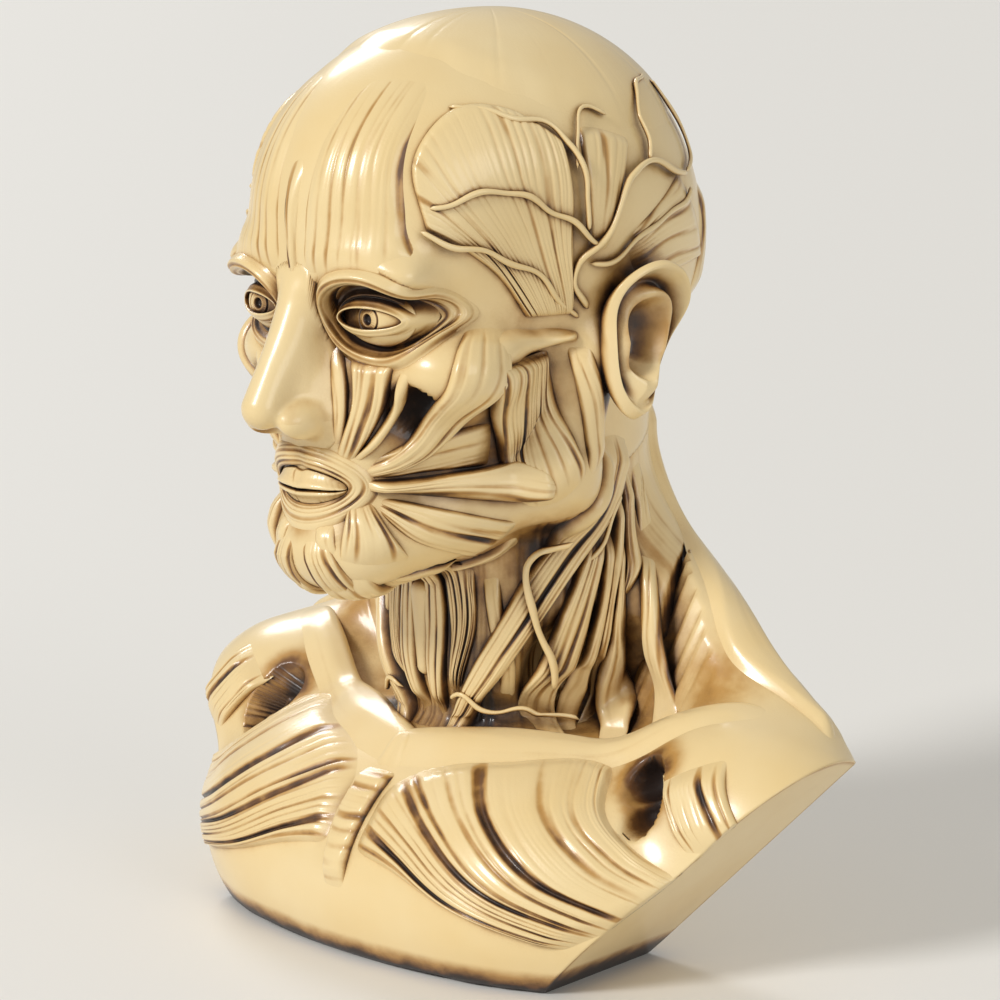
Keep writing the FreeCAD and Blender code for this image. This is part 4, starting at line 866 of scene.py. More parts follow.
def core_of_chest():
    """The chest and shoulders. Sections that fan out from the middle plane to the flat arm cuts are
    each a ring of rays, so that the cuts are exact; the back and the base are flat with worn edges."""
    rows, columns = CHEST_GRID
    share = np.linspace(-1, 1, rows)[:, None]
    turn = np.linspace(0, 2 * math.pi, columns, False)
    turn = (turn + GATHER * np.sin(turn - GATHER_TURN))[None]
    _, y, z = place(BUST, 0, 0.35, 0.37)

    def lay(distance):
        py, pz = y + distance * np.sin(turn), z + distance * np.cos(turn)
        cut = (SHOULDER_TIP @ ARM_OUT - ARM_OUT[1] * py - ARM_OUT[2] * pz) / ARM_OUT[0]
        return np.stack([share * cut, py, pz], -1)

    def value(points):
        back = (points - BASE_BACK) @ BACK_OUT
        trunk = rounded_max(chest_surface(points), back, EDGE_ROUNDING)
        return rounded_max(trunk, -points[..., 2], EDGE_ROUNDING)

    shape = rows, columns
    low, _ = halve(lambda d: value(lay(d)) > 0, np.zeros(shape), np.full(shape, CHEST_REACH), RAY_HALVINGS)
    sides = lay(low)
    inset = np.linspace(0.985, 0.02, 24)[:, None]
    ends = []
    for ring in (sides[0], sides[-1]):
        middle = ring.mean(0)
        ends.append(middle + (ring - middle) * inset[..., None])
    points = np.concatenate([ends[0][::-1], sides, ends[1]])
    # Painted shade darkens the chest towards its base, where it meets the floor
    rim = BASE_SHADE * np.exp(-points[..., 2] / BASE_SHADE_HEIGHT)
    film = CUT_FILM + CUT_RIM * bump(inset[:, 0], 1, CUT_RIM_WIDTH)
    film = np.concatenate([film[::-1], np.zeros(rows), film])[:, None]
    return shell(points, np.clip(wash_and_shade(points) + rim + film, 0, 1))


# ---------------------------------------------------------------- where each muscle runs

# Sheets of the paired muscles: frame, carving, thickness and lift shares, style of both ends, and rails
PAIRED_NETS = {
    "frontalis": [
        (HEAD, "brow", 0.55, 0.0, "melt", "long", [
            [(1.5, 0.545), (2, 0.66), (3, 0.78), (5, 0.89), (8, 0.955)],
            [(12, 0.560), (12, 0.66), (12, 0.78), (15, 0.90), (20, 0.960)],
            [(22, 0.565), (21, 0.67), (21, 0.79), (26, 0.90), (33, 0.958)],
            [(37, 0.575), (33, 0.67), (32, 0.78), (39, 0.89), (46, 0.950)],
        ]),
    ],
    "temporalis": [
        (HEAD, "temple", 0.90, 0.0, "blunt", "blunt", [
            [(64, 0.490), (54, 0.565), (43, 0.620), (34, 0.655)],
            [(68, 0.490), (51, 0.62), (38, 0.71), (30, 0.77)],
            [(72, 0.490), (59, 0.63), (48, 0.74), (39, 0.855)],
            [(77, 0.490), (69, 0.63), (62, 0.74), (57, 0.855)],
            [(82, 0.490), (80, 0.60), (79, 0.70), (76, 0.80)],
        ]),
    ],
    "auricularis": [
        (HEAD, "temple", 0.60, 0.0, "melt", "soft", [
            [(85, 0.58), (84, 0.67), (83, 0.75), (85, 0.83)],
            [(88, 0.58), (89, 0.67), (91, 0.75), (95, 0.82)],
            [(91, 0.58), (95, 0.67), (100, 0.74), (106, 0.80)],
        ]),
        (HEAD, "temple", 0.50, 0.0, "melt", "melt", [
            [(98, 0.62), (108, 0.655), (118, 0.69), (130, 0.73)],
            [(97, 0.575), (110, 0.60), (124, 0.62), (140, 0.64)],
            [(104, 0.53), (118, 0.545), (132, 0.555), (146, 0.56)],
        ]),
    ],
    "cheek_arch": [
        (HEAD, "smooth", 1.05, 0.1, "fade", "blunt", [
            [(37, 0.462), (54, 0.482), (68, 0.475), (84, 0.463)],
            [(37, 0.430), (55, 0.440), (69, 0.447), (84, 0.452)],
            [(37, 0.395), (56, 0.398), (70, 0.418), (84, 0.440)],
        ]),
    ],
    "masseter": [
        (HEAD, "coarse", 1.35, 0.0, "blunt", "melt", [
            [(50, 0.415), (52, 0.33), (56, 0.25), (61, 0.155)],
            [(58, 0.415), (61, 0.33), (65, 0.24), (70, 0.135)],
            [(66, 0.420), (70, 0.33), (75, 0.24), (79, 0.145)],
            [(75, 0.425), (79, 0.335), (84, 0.26), (88, 0.19)],
        ]),
        (HEAD, "medium", 0.80, 0.0, "melt", "melt", [
            [(79, 0.450), (84, 0.35), (87, 0.25), (89, 0.18)],
            [(87, 0.450), (92, 0.35), (95, 0.26), (97, 0.20)],
        ]),
    ],
    "levators": [
        (HEAD, "fine", 0.60, 0.1, "melt", "melt", [
            [(5.5, 0.475), (7.5, 0.40), (9.5, 0.32), (9, 0.255)],
            [(9.8, 0.46), (12.4, 0.395), (13.5, 0.32), (12.6, 0.26)],
        ]),
        (HEAD, "medium", 0.80, 0.1, "soft", "melt", [
            [(12.5, 0.435), (14, 0.36), (12.5, 0.30), (9, 0.240)],
            [(19, 0.435), (18, 0.35), (15, 0.29), (11, 0.235)],
            [(26.5, 0.435), (23, 0.35), (18.5, 0.287), (13, 0.232)],
        ]),
    ],
    "zygomaticus": [
        (HEAD, "medium", 0.95, 0.10, "melt", "melt", [
            [(44, 0.490), (38, 0.37), (28, 0.288), (15, 0.225)],
            [(51, 0.495), (43, 0.36), (31, 0.274), (15.5, 0.215)],
            [(59, 0.487), (49, 0.350), (34, 0.260), (16, 0.205)],
        ]),
        (HEAD, "fine", 0.8, 0.2, "melt", "melt", [
            [(28, 0.425), (24.5, 0.350), (19.0, 0.29), (13, 0.243)],
            [(31.5, 0.42), (27.5, 0.345), (21.5, 0.283), (14, 0.234)],
        ]),
    ],
    "risorius": [
        (HEAD, "medium", 1.0, 0.5, "melt", "blunt", [
            [(14, 0.214), (28, 0.216), (48, 0.222), (64, 0.228), (76, 0.212)],
            [(14, 0.204), (28, 0.200), (48, 0.196), (64, 0.194), (77, 0.188)],
            [(14, 0.194), (28, 0.184), (48, 0.168), (64, 0.158), (76, 0.162)],
        ]),
        (HEAD, "coarse", 0.55, 0.0, "melt", "melt", [
            [(17, 0.190), (36, 0.160), (56, 0.130), (68, 0.115)],
            [(17, 0.180), (33, 0.130), (50, 0.098), (60, 0.080)],
            [(17, 0.170), (28, 0.105), (40, 0.072), (48, 0.055)],
        ]),
    ],
    "chin_depressors": [
        (HEAD, "medium", 0.85, 0.1, "melt", "melt", [
            [(12, 0.190), (12, 0.13), (11, 0.055)],
            [(14.5, 0.190), (17, 0.125), (18, 0.048)],
            [(17, 0.190), (23, 0.12), (28, 0.055)],
        ]),
        (HEAD, "fine", 0.6, 0.0, "melt", "melt", [
            [(4, 0.150), (5, 0.11), (7, 0.062)],
            [(9.5, 0.155), (10.5, 0.11), (12, 0.058)],
        ]),
    ],
    "throat_straps": [
        (NECK, "medium", 0.9, 0.1, "melt", "melt", [
            [(2, 1.07), (3, 0.82), (2, 0.60)],
            [(7, 1.07), (9, 0.82), (5, 0.59)],
            [(13, 1.07), (14, 0.82), (9, 0.58)],
        ]),
        (NECK, "coarse", 0.8, 0.0, "melt", "melt", [
            [(15, 1.06), (16, 0.84), (12, 0.66)],
            [(21, 1.05), (22, 0.85), (15, 0.66)],
            [(27, 1.03), (28, 0.86), (19, 0.67)],
        ]),
        (NECK, "medium", 0.7, 0.0, "melt", "fade", [
            [(30, 1.02), (33, 0.88), (38, 0.74), (36, 0.62)],
            [(38, 1.03), (41, 0.90), (46, 0.76), (46, 0.62)],
        ]),
    ],
    "sternomastoid": [
        (NECK, "coarse", 1.25, 0.35, "melt", "melt", [
            [(88, 1.37), (72, 1.20), (54, 1.04), (38, 0.885), (22, 0.713), (9, 0.555)],
            [(98, 1.38), (84, 1.19), (65, 1.04), (48, 0.885), (30, 0.717), (13, 0.55)],
            [(109, 1.36), (96, 1.175), (76, 1.038), (57, 0.883), (38, 0.721), (18, 0.55)],
        ]),
        (NECK, "coarse", 1.0, 0.1, "melt", "fade", [
            [(82, 1.12), (68, 0.92), (56, 0.76), (44, 0.60)],
            [(88, 1.12), (76, 0.92), (66, 0.76), (56, 0.585)],
            [(94, 1.12), (84, 0.92), (75, 0.76), (67, 0.575)],
        ]),
    ],
    "side_neck": [
        (NECK, "coarse", 1.0, 0.0, "melt", "fade", [
            [(91, 1.12), (86, 0.92), (77, 0.74), (68, 0.595)],
            [(98, 1.12), (92, 0.92), (84, 0.74), (77, 0.595)],
        ]),
        (NECK, "coarse", 1.0, 0.15, "melt", "fade", [
            [(97, 1.22), (93, 1.04), (88, 0.86), (80, 0.62)],
            [(104, 1.22), (99, 1.05), (93, 0.87), (87, 0.62)],
        ]),
        (NECK, "coarse", 0.9, 0.0, "melt", "melt", [
            [(105, 1.27), (101, 1.12), (97, 0.98), (92, 0.86)],
            [(112, 1.27), (108, 1.14), (103, 1.01), (97, 0.93)],
        ]),
        (NECK, "medium", 0.5, 0.0, "melt", "melt", [
            [(114, 1.29), (111, 1.17), (107, 1.06)],
            [(123, 1.30), (120, 1.19), (115, 1.09)],
        ]),
        (NECK, "coarse", 1.0, 0.0, "melt", "fade", [
            [(0.98, 0.14, 1.12), (1.02, 0.10, 0.92), (1.05, 0.00, 0.76), (1.10, -0.10, 0.62),
             (1.22, -0.26, 0.60)],
            [(1.08, 0.22, 1.10), (1.16, 0.14, 0.92), (1.20, 0.06, 0.76), (1.28, -0.06, 0.63),
             (1.38, -0.22, 0.60)],
        ]),
        (NECK, "coarse", 0.9, 0.0, "melt", "fade", [
            [(1.16, 0.28, 1.07), (1.26, 0.18, 0.92), (1.32, 0.10, 0.78), (1.42, 0.00, 0.65),
             (1.54, -0.14, 0.61)],
            [(1.26, 0.38, 1.05), (1.42, 0.24, 0.92), (1.52, 0.16, 0.80), (1.62, 0.08, 0.68),
             (1.74, -0.04, 0.63)],
        ]),
    ],
    "pectoralis": [
        (BUST, "chest", 1.0, 0.0, "melt", "melt", [
            [(0.545, 0.545), (0.62, 0.460), (0.73, 0.390), (0.86, 0.330)],
            [(0.43, 0.560), (0.55, 0.455), (0.69, 0.355), (0.84, 0.275)],
            [(0.30, 0.550), (0.45, 0.440), (0.62, 0.320), (0.80, 0.220)],
            [(0.16, 0.530), (0.34, 0.415), (0.54, 0.290), (0.76, 0.185)],
            [(0.050, 0.470), (0.25, 0.370), (0.47, 0.258), (0.72, 0.160)],
            [(0.040, 0.380), (0.21, 0.315), (0.42, 0.225), (0.69, 0.140)],
            [(0.036, 0.290), (0.19, 0.260), (0.40, 0.195), (0.66, 0.125)],
        ]),
    ],
    "deltoid": [
        (BUST, "coarse", 0.85, 0.0, "melt", "melt", [
            [(0.705, 0.560), (0.755, 0.50), (0.80, 0.44), (0.86, 0.37)],
            [(0.77, 0.60), (0.81, 0.53), (0.86, 0.46), (0.92, 0.38)],
            [(0.85, 0.64), (0.90, 0.56), (0.95, 0.49), (1.00, 0.42)],
        ]),
    ],
    "clavicle": [
        (BUST, "ledge", 0.95, 0.25, "soft", "long", [
            [(-0.06, -0.44, 0.545), (0.22, -0.20, 0.600), (0.44, 0.03, 0.637), (0.62, 0.24, 0.690),
             (0.76, 0.40, 0.720), (0.93, 0.50, 0.735)],
            [(-0.06, -0.54, 0.500), (0.24, -0.36, 0.550), (0.45, -0.13, 0.592), (0.64, 0.10, 0.657),
             (0.77, 0.26, 0.690), (0.95, 0.38, 0.700)],
            [(-0.06, -0.66, 0.430), (0.25, -0.56, 0.475), (0.45, -0.33, 0.543), (0.65, -0.03, 0.622),
             (0.78, 0.11, 0.652), (0.98, 0.26, 0.650)],
        ]),
    ],
    "digastric": [
        (HEAD, "medium", 0.8, 0.0, "melt", "melt", [
            [(14, 0.010), (30, 0.028), (52, 0.050), (74, 0.090)],
            [(14, -0.005), (31, 0.010), (54, 0.030), (78, 0.070)],
        ]),
    ],
    "trapezius": [
        (HEAD, "smooth", 0.9, 0.0, "melt", "melt", [
            [(0.50, 0.72, 0.29), (0.637, 0.698, 0.068), (0.857, 0.573, -0.041), (1.363, 0.417, -0.149),
             (1.789, 0.433, -0.190), (2.10, 0.42, -0.25)],
            [(0.28, 0.82, 0.305), (0.464, 0.766, 0.078), (0.79, 0.67, -0.03), (1.28, 0.56, -0.115),
             (1.70, 0.53, -0.18), (2.10, 0.52, -0.24)],
            [(0.06, 0.92, 0.32), (0.292, 0.833, 0.088), (0.724, 0.783, -0.014), (1.193, 0.717, -0.092),
             (1.619, 0.633, -0.173), (2.10, 0.60, -0.23)],
        ]),
    ],
}
# Muscles in the middle, or in pairs inside one piece, the same way, with a mark for a mirrored pair
MIDDLE_NETS = {
    "occipitalis": (True, [
        (HEAD, "chest", 0.50, 0.0, "melt", "melt", [
            [(134, 0.47), (138, 0.58), (142, 0.70)],
            [(147, 0.46), (149, 0.58), (151, 0.71)],
            [(160, 0.46), (162, 0.58), (162, 0.71)],
        ]),
    ]),
    "procerus": (False, [
        (HEAD, "brow", 0.45, 0.0, "melt", "fade", [
            [(-2.4, 0.520), (-2.8, 0.62), (-4, 0.72), (-6, 0.82)],
            [(2.4, 0.520), (2.8, 0.62), (4, 0.72), (6, 0.82)],
        ]),
    ]),
    "buccinators": (True, [
        (HEAD, "fine", 0.70, 0.0, "melt", "melt", [
            [(17, 0.245), (32, 0.290), (57, 0.310)],
            [(17, 0.228), (32, 0.256), (57, 0.262)],
            [(17, 0.212), (32, 0.222), (57, 0.222)],
        ]),
    ]),
    "mentalis": (True, [
        (HEAD, "medium", 0.60, 0.0, "melt", "melt", [
            [(1.5, 0.118), (2, 0.07), (2, 0.020)],
            [(5, 0.125), (6, 0.07), (5.5, 0.015)],
            [(8, 0.118), (11, 0.07), (9, 0.022)],
        ]),
    ]),
    "mylohyoid": (False, [
        (HEAD, "medium", 0.60, 0.0, "melt", "melt", [
            [(-0.34, -0.74, 0.0), (-0.46, -0.56, 0.01), (-0.42, -0.36, 0.01)],
            [(0, -0.80, 0.0), (0, -0.60, 0.005), (0, -0.35, 0.0)],
            [(0.34, -0.74, 0.0), (0.46, -0.56, 0.01), (0.42, -0.36, 0.01)],
        ]),
    ]),
    "sternum": (False, [
        (BUST, "beads", 0.95, 0.0, "soft", "melt", [
            [(-0.052, -0.60, 0.47), (-0.044, -0.86, 0.34), (-0.036, -1.04, 0.17)],
            [(0, -0.60, 0.47), (0, -0.88, 0.34), (0, -1.05, 0.17)],
            [(0.052, -0.60, 0.47), (0.044, -0.86, 0.34), (0.036, -1.04, 0.17)],
        ]),
    ]),
}
CORE_NETS = {"buccinators"}
# Vessels and nerves on the head and the neck: radius share, then stations of place and lift
SCALP_VESSELS = [
    (1.0, [(0.90, -0.09, 0.480, 0), (0.81, -0.30, 0.57, 1.0), (0.75, -0.50, 0.61, 1.0),
          (0.70, -0.66, 0.63, 1.0), (0.62, -0.78, 0.65, 0.7)]),
    (1.1, [(0.90, -0.03, 0.500, 0), (0.87, -0.12, 0.54, 0.3), (0.90, -0.10, 0.58, 0.3),
          (0.94, -0.03, 0.62, 0.7), (0.97, 0.06, 0.68, 0.7), (0.96, 0.13, 0.73, 0.7),
          (0.93, 0.27, 0.745, 0.7), (0.84, 0.55, 0.71, 0.5)]),
    (1.0, [(0.945, -0.03, 0.615, 0.6), (0.93, -0.10, 0.640, 1.0), (0.88, -0.20, 0.67, 1.0),
          (0.84, -0.33, 0.70, 1.0), (0.79, -0.47, 0.72, 1.0), (0.73, -0.60, 0.71, 1.0),
          (0.64, -0.74, 0.69, 0.7)]),
    (1.0, [(0.93, -0.10, 0.640, 0.8), (0.925, -0.09, 0.69, 0.9), (0.91, -0.13, 0.750, 1.0),
          (0.87, -0.15, 0.79, 0.6), (0.80, -0.23, 0.82, 0.6), (0.70, -0.41, 0.84, 0.5),
          (0.55, -0.56, 0.86, 0.15)]),
    (0.8, [(0.93, 0.27, 0.745, 0.6), (0.90, 0.30, 0.780, 0.6), (0.83, 0.27, 0.82, 0.6),
          (0.76, 0.34, 0.855, 0.6), (0.68, 0.40, 0.880, 0.45), (0.58, 0.52, 0.88, 0.35)]),
    (0.9, [(0.84, 0.59, 0.69, 0.4), (0.92, 0.46, 0.66, 0.4), (0.97, 0.27, 0.64, 0.4),
          (0.96, 0.06, 0.59, 0.4), (0.92, -0.06, 0.58, 0.4)]),
    (0.7, [(0.91, -0.13, 0.745, 0.7), (0.87, -0.12, 0.79, 0.6), (0.81, -0.03, 0.84, 0.5),
          (0.84, 0.09, 0.83, 0.5)]),
    (0.7, [(0.58, 0.55, 0.87, 0.5), (0.71, 0.69, 0.75, 0.4), (0.83, 0.57, 0.72, 0.4)]),
]
NECK_VESSELS = [
    (1.3, [(1.08, -0.50, 1.180, 2.2), (0.92, -0.64, 1.10, 2.0), (0.88, -0.74, 0.97, 2.1),
          (0.96, -0.62, 0.84, 1.6), (0.98, -0.50, 0.70, 1.3)]),
    (1.0, [(1.01, 0.11, 1.21, 1.1), (1.02, -0.03, 1.10, 1.0), (0.98, -0.20, 1.03, 0.4)]),
    (0.9, [(0.26, -0.94, 0.67, 1.0), (0.38, -0.91, 0.69, 1.4), (0.51, -0.83, 0.66, 1.6),
          (0.63, -0.75, 0.64, 1.4), (0.75, -0.62, 0.65, 1.2), (0.87, -0.44, 0.59, 0.8),
          (0.98, -0.25, 0.54, 0.4)]),
]


# ---------------------------------------------------------------- features

SCALP_CENTRE = place(HEAD, 0, 0.10, 0.50)
# How far down the sheet reaches as a share of a quarter turn, from the brow round to the back
SCALP_EDGE_SHARES = [0.37, 0.44, 0.56, 0.60, 0.56]
SCALP_COLUMNS, SCALP_ROWS, SCALP_UNDER = 360, 150, 12
# The outline is evened out over this many columns, and waves by these shares this many times round
EVEN_COLUMNS = 61
EDGE_WAVES = [(0.006, 9, 1), (0.004, 23, 0)]
SCALP_REACH, SCALP_SEED, SCALP_WASH = 0.035, 5, 0.5


def scalp_sheet(thickness):
    """The smooth sheet over the crown: rays by distance from the crown and turn, cast onto the head,
    with an outline that reaches lower at the back than at the temples, and an edge that thins out."""
    turns = np.linspace(0, 2 * math.pi, SCALP_COLUMNS, False)
    around = np.minimum(turns, 2 * math.pi - turns) / math.pi * (len(SCALP_EDGE_SHARES) - 1)
    edge = np.interp(around, np.arange(len(SCALP_EDGE_SHARES)), SCALP_EDGE_SHARES)
    half = EVEN_COLUMNS // 2
    edge = np.concatenate([edge[-half:], edge, edge[:half]])
    edge = np.convolve(edge, np.ones(EVEN_COLUMNS) / EVEN_COLUMNS, "valid")
    for far, waves, start in EDGE_WAVES:
        edge = edge + far * np.sin(waves * turns + start)
    inset = np.concatenate([np.linspace(0.004, 1, SCALP_ROWS), np.linspace(1.0, 0.004, SCALP_UNDER)[1:]])
    inset = inset[:, None]
    under = np.arange(len(inset))[:, None] >= SCALP_ROWS
    tilt = inset * edge[None] * math.pi / 2
    ways = np.stack([np.sin(tilt) * np.sin(turns), -np.sin(tilt) * np.cos(turns), np.cos(tilt)], -1)
    foot = cast(envelope, SCALP_CENTRE, ways, HEAD_HEIGHT)
    crown = smooth_step((1 - inset) / 0.30)
    lines, wash = carved(turns[None] * SCALP_REACH + 0 * tilt, inset + 0 * tilt, "smooth", SCALP_SEED)
    lined = crown * smooth_step(inset / 0.25)
    height = (SINK + thickness) * crown - SINK - lines * lined
    height = np.where(under, UNDERSIDE, height)
    return shell(foot + ways * height[..., None], SCALP_WASH * wash * lined)


EYE = place(HEAD, EYE_SPOT[0], -0.798, EYE_SPOT[1])
LID_THICKNESS = 0.0009
# Rows of the ball from the pupil to the white and round the back, in degrees, and its columns
BALL_FRONT, BALL_BACK, BALL_COLUMNS = (0.3, 40, 90), (42, 179, 50), 96
# Degrees from the gaze and softness of the iris's ring, its dish and the pupil
IRIS_RING, IRIS_DISH, PUPIL = (27, 2.0), (24, 1.5), (10.5, 0.9)
RING_DEPTH, DISH_DEPTH, PUPIL_DEPTH = 0.00030, 0.00018, 0.0011
SPOKES, SPOKE_DEPTH = 24, 0.00003
# The ball and the lids slant back by these shares of the width, towards the temple and the nose
BALL_SLANT, LID_SLANT = (0.34, 0.18), (0.38, 0.20)


def eyeball(radius):
    """A ball that looks ahead: its radius over the angle from the gaze has a ring round the iris, a
    shallow dish inside it and a deep pupil, and its white is widened towards both corners."""
    degrees = np.concatenate([np.linspace(*BALL_FRONT), np.linspace(*BALL_BACK)])[:, None]
    from_gaze = np.radians(degrees)
    turn = np.linspace(0, 2 * math.pi, BALL_COLUMNS, False)
    ring = bump(degrees, *IRIS_RING)
    dish, pupil = (1 / (1 + np.exp((degrees - edge) / soft)) for edge, soft in (IRIS_DISH, PUPIL))
    spokes = SPOKE_DEPTH * np.sin(SPOKES * turn) * (dish - pupil)
    reach = radius - RING_DEPTH * ring - DISH_DEPTH * dish - PUPIL_DEPTH * pupil + spokes
    white = smooth_step((from_gaze - 0.50) / 0.50) * (1 - smooth_step((from_gaze - 1.15) / 0.35))
    side = (1 + 0.50 * white) * np.sin(from_gaze) * np.cos(turn)
    slant = np.where(side > 0, *BALL_SLANT) * white * side
    ways = np.stack([side, slant - np.cos(from_gaze), np.sin(from_gaze) * np.sin(turn)], -1)
    # The iris's ring and dish hold wash, and the deep pupil holds wash and painted shade
    wash = np.clip(0.75 * ring + 1.0 * pupil + 0.22 * dish, 0, 1) + 0 * turn
    return shell(EYE + ways * reach[..., None], wash)


def eyelids(radius):
    """Both lids in one ring about an almond opening. They hug the eyeball from a thick rim outwards,
    then pass into the socket under the ring muscle, with a deep fold above and shallow ones below."""
    turn, share = face_grid(LID_ROWS)
    flat = between(oval(turn, *LID_OPENING), oval(turn, *LID_EDGE), share)
    x, z = flat[..., 0] * HEAD_HALF_WIDTH, flat[..., 1] * HEAD_HEIGHT
    upper, lower = (smooth_step(side * 1.6 * np.sin(turn)) for side in (1, -1))
    crease = bump(share, 0.36, 0.05) * upper + 0.5 * bump(share, 0.34, 0.05) * lower
    sulcus = bump(share, 0.62, 0.18) * upper
    folds = (bump(share, 0.55, 0.04) + bump(share, 0.74, 0.04)) * lower
    reach = radius + LID_THICKNESS + 0.0004 * bump(share, 0.06, 0.09)
    room = reach ** 2 - (0.64 * x) ** 2 - z ** 2
    depth = np.sqrt((room + np.sqrt(room ** 2 + (0.35 * radius) ** 4)) / 2)
    hugging = np.stack([EYE[0] + x, EYE[1] - depth + np.where(x > 0, *LID_SLANT) * x, EYE[2] + z], -1)
    foot, out = settle(envelope, cast_front(np.stack([EYE[0] + x, 0 * x, EYE[2] + z], -1)), 3)
    blend = smooth_step((share - 0.22) / 0.66)[..., None]
    low = 0.0006 + 0.5 * socket_depth(turn)[..., None]
    top = hugging * (1 - blend) + (foot - low * out) * blend
    top = top + np.stack([0 * x, 0.0008 * crease + 0.0013 * sulcus + 0.00035 * folds, 0 * z], -1)
    # The crease, the sulcus and the folds are darkened with wash and painted shade
    return closed_ring(top, np.clip(0.8 * crease + 0.7 * sulcus + 0.4 * folds, 0, 1), LID_THICKNESS)


NOSE_FILLET = 0.0042
# The foot is cut off at this share of the fillet, and the forms go this deep into the body
NOSE_CUT = 0.78 * NOSE_FILLET
NOSE_ROOT, LARYNX_ROOT = 0.0014, 0.0012
NOSE_WING, NOSTRIL = place(HEAD, 0.128, -1.050, 0.318), place(HEAD, 0.078, -1.110, 0.286)
NOSE_CENTRE, LARYNX_CENTRE = place(HEAD, 0, -1.03, 0.37), place(NECK, 0, -1.02, 0.86)
NOSE_GRID, LARYNX_GRID = (170, 220), (90, 90)
# How far the nostrils' wash and painted shade reach
NOSTRIL_SHADE_REACH = 0.0021


def nose_form(tip_radius):
    """The field of a plain straight nose with a soft foot: bars from the bridge to the tip and back to
    the root, two wings with a crease above them, two nostrils, and a blend into the face."""
    tip, bridge = place(HEAD, 0, -1.180, 0.342), place(HEAD, 0, -0.965, 0.530)
    root = place(HEAD, 0, -0.96, 0.345)
    thin, hole = 0.62 * tip_radius, 0.36 * tip_radius
    bars = [
        ((bridge, tip), (thin, 0.86 * tip_radius), tip_radius / 2),
        ((bridge, root), (thin, 1.40 * tip_radius), tip_radius),
    ]
    wings = (NOSE_WING, np.array((0.62, 1.20, 0.74)) * tip_radius, 0.45 * tip_radius)
    nostrils = (NOSTRIL, np.array((hole, 1.8 * hole, 1.6 * hole)), hole)
    bridge_field, wing_field = field_of([], bars), field_of([wings], [])

    def value(points):
        own = blend_in(bridge_field(points), wing_field(points), wings[2])
        own = -blend_in(-own, rounded_value(nostrils, folded(points)), 0.5 * hole)
        face = envelope(points)
        return np.maximum(np.maximum(blend_in(face, own, NOSE_FILLET), own - NOSE_CUT), -NOSE_ROOT - face)

    return value


def nose_wash_and_shade(points):
    """Wash and painted shade in the nostrils, and a thin line of them in the crease above the wings."""
    points = folded(points)
    hole = np.clip(1.7 - np.linalg.norm(points - NOSTRIL, axis=-1) / NOSTRIL_SHADE_REACH, 0, 1)
    crease = np.linalg.norm((points - NOSE_WING) * (1, 0.8, 1), axis=-1)
    return np.clip(hole + 0.20 * bump(crease, 0.0040, 0.0008) * (points[..., 2] > NOSE_WING[2]), 0, 1)


def larynx_form(radius):
    """The field of the ridge at the front of the neck: one tapered bar, cut off inside the neck."""
    ends = place(NECK, 0, -0.96, 0.94), place(NECK, 0, -1.00, 0.74)
    shape = field_of([], [(ends, (radius, radius / 2), radius)])
    return lambda points: np.maximum(shape(points), -LARYNX_ROOT - envelope(points))


EAR_CENTRE = (0.95, 0.12, 0.435)
EAR_COLUMNS, EAR_ROWS, EAR_TURN_ROWS = 220, 100, 36


def ear(width, height, stand_out):
    """The ear in polar form about its middle. The height over the head follows the distance from the
    middle: a deep bowl, an inner ridge behind it, a groove and a rolled rim, with a full lobe below
    and a small flap in front; outside the rim it turns back to its root."""
    centre, out = settle(envelope, place(HEAD, *EAR_CENTRE), 6)
    angle = np.linspace(0, 2 * math.pi, EAR_COLUMNS, False)
    r = np.linspace(0.02, 1, EAR_ROWS)[:, None]
    q = np.linspace(0, 1, EAR_TURN_ROWS)[1:, None]
    back, up = np.cos(angle), np.sin(angle)
    ahead, down = np.clip(-back, 0, 1), np.clip(-up, 0, 1)
    lobe = np.clip((down - 0.55) / 0.4, 0, 1) ** 1.5
    bowl = 0.12 + 0.55 * np.clip((r - 0.18) / 0.34, 0, 1) ** 1.6
    ridge = 0.34 * bump(r, 0.56, 0.10) * (1 - 0.8 * ahead) * (1 - lobe)
    groove = 0.16 * bump(r, 0.74, 0.07) * (1 - lobe) * (1 - 0.3 * ahead)
    rim = 0.38 * bump(r, 0.93, 0.09)
    flap = 0.34 * bump(r, 0.46, 0.14) * np.clip(ahead - 0.55, 0, 1) * 2 * (1 - np.abs(up))
    inside = bowl + ridge + rim - groove + flap + lobe * (0.55 * bump(r, 0.62, 0.25))
    outside = inside[-1] * (1 - q ** 1.4) - 0.14 * q
    # Wash and painted shade darken the bowl, the groove inside the rim, and the back of the rim towards its
    # root
    inner_wash_and_shade = np.clip(1.35 - 2.0 * r - 1.2 * lobe, 0, 1) ** 0.8 + 0.75 * bump(r, 0.74, 0.06) * (1 - lobe)
    wash = np.vstack([inner_wash_and_shade, 0.6 * q + 0 * outside])
    rows = np.concatenate([r, 1 + 0.04 * np.sin(q * math.pi) - 0.42 * q ** 1.5])
    tall, wide = rows * up, rows * back
    wide = wide * (1 + 0.24 * tall) + 0.20 * tall
    guess = centre + np.stack([0 * wide, wide * width / 2, tall * height / 2], -1)
    foot, _ = settle(envelope, guess, 4)
    stand = np.vstack([inside, outside]) * (1 - 0.40 * (1 - back) / 2)
    return shell(foot + out * (0.0002 + stand * stand_out)[..., None], np.clip(wash, 0, 1))


# ---------------------------------------------------------------- finish

def linear(hex_colour):
    """The linear RGBA of an sRGB hex colour such as #EBD3A0."""
    values = [int(hex_colour[k:k + 2], 16) / 255 for k in (1, 3, 5)]
    return [v / 12.92 if v <= 0.04045 else ((v + 0.055) / 1.055) ** 2.4 for v in values] + [1.0]


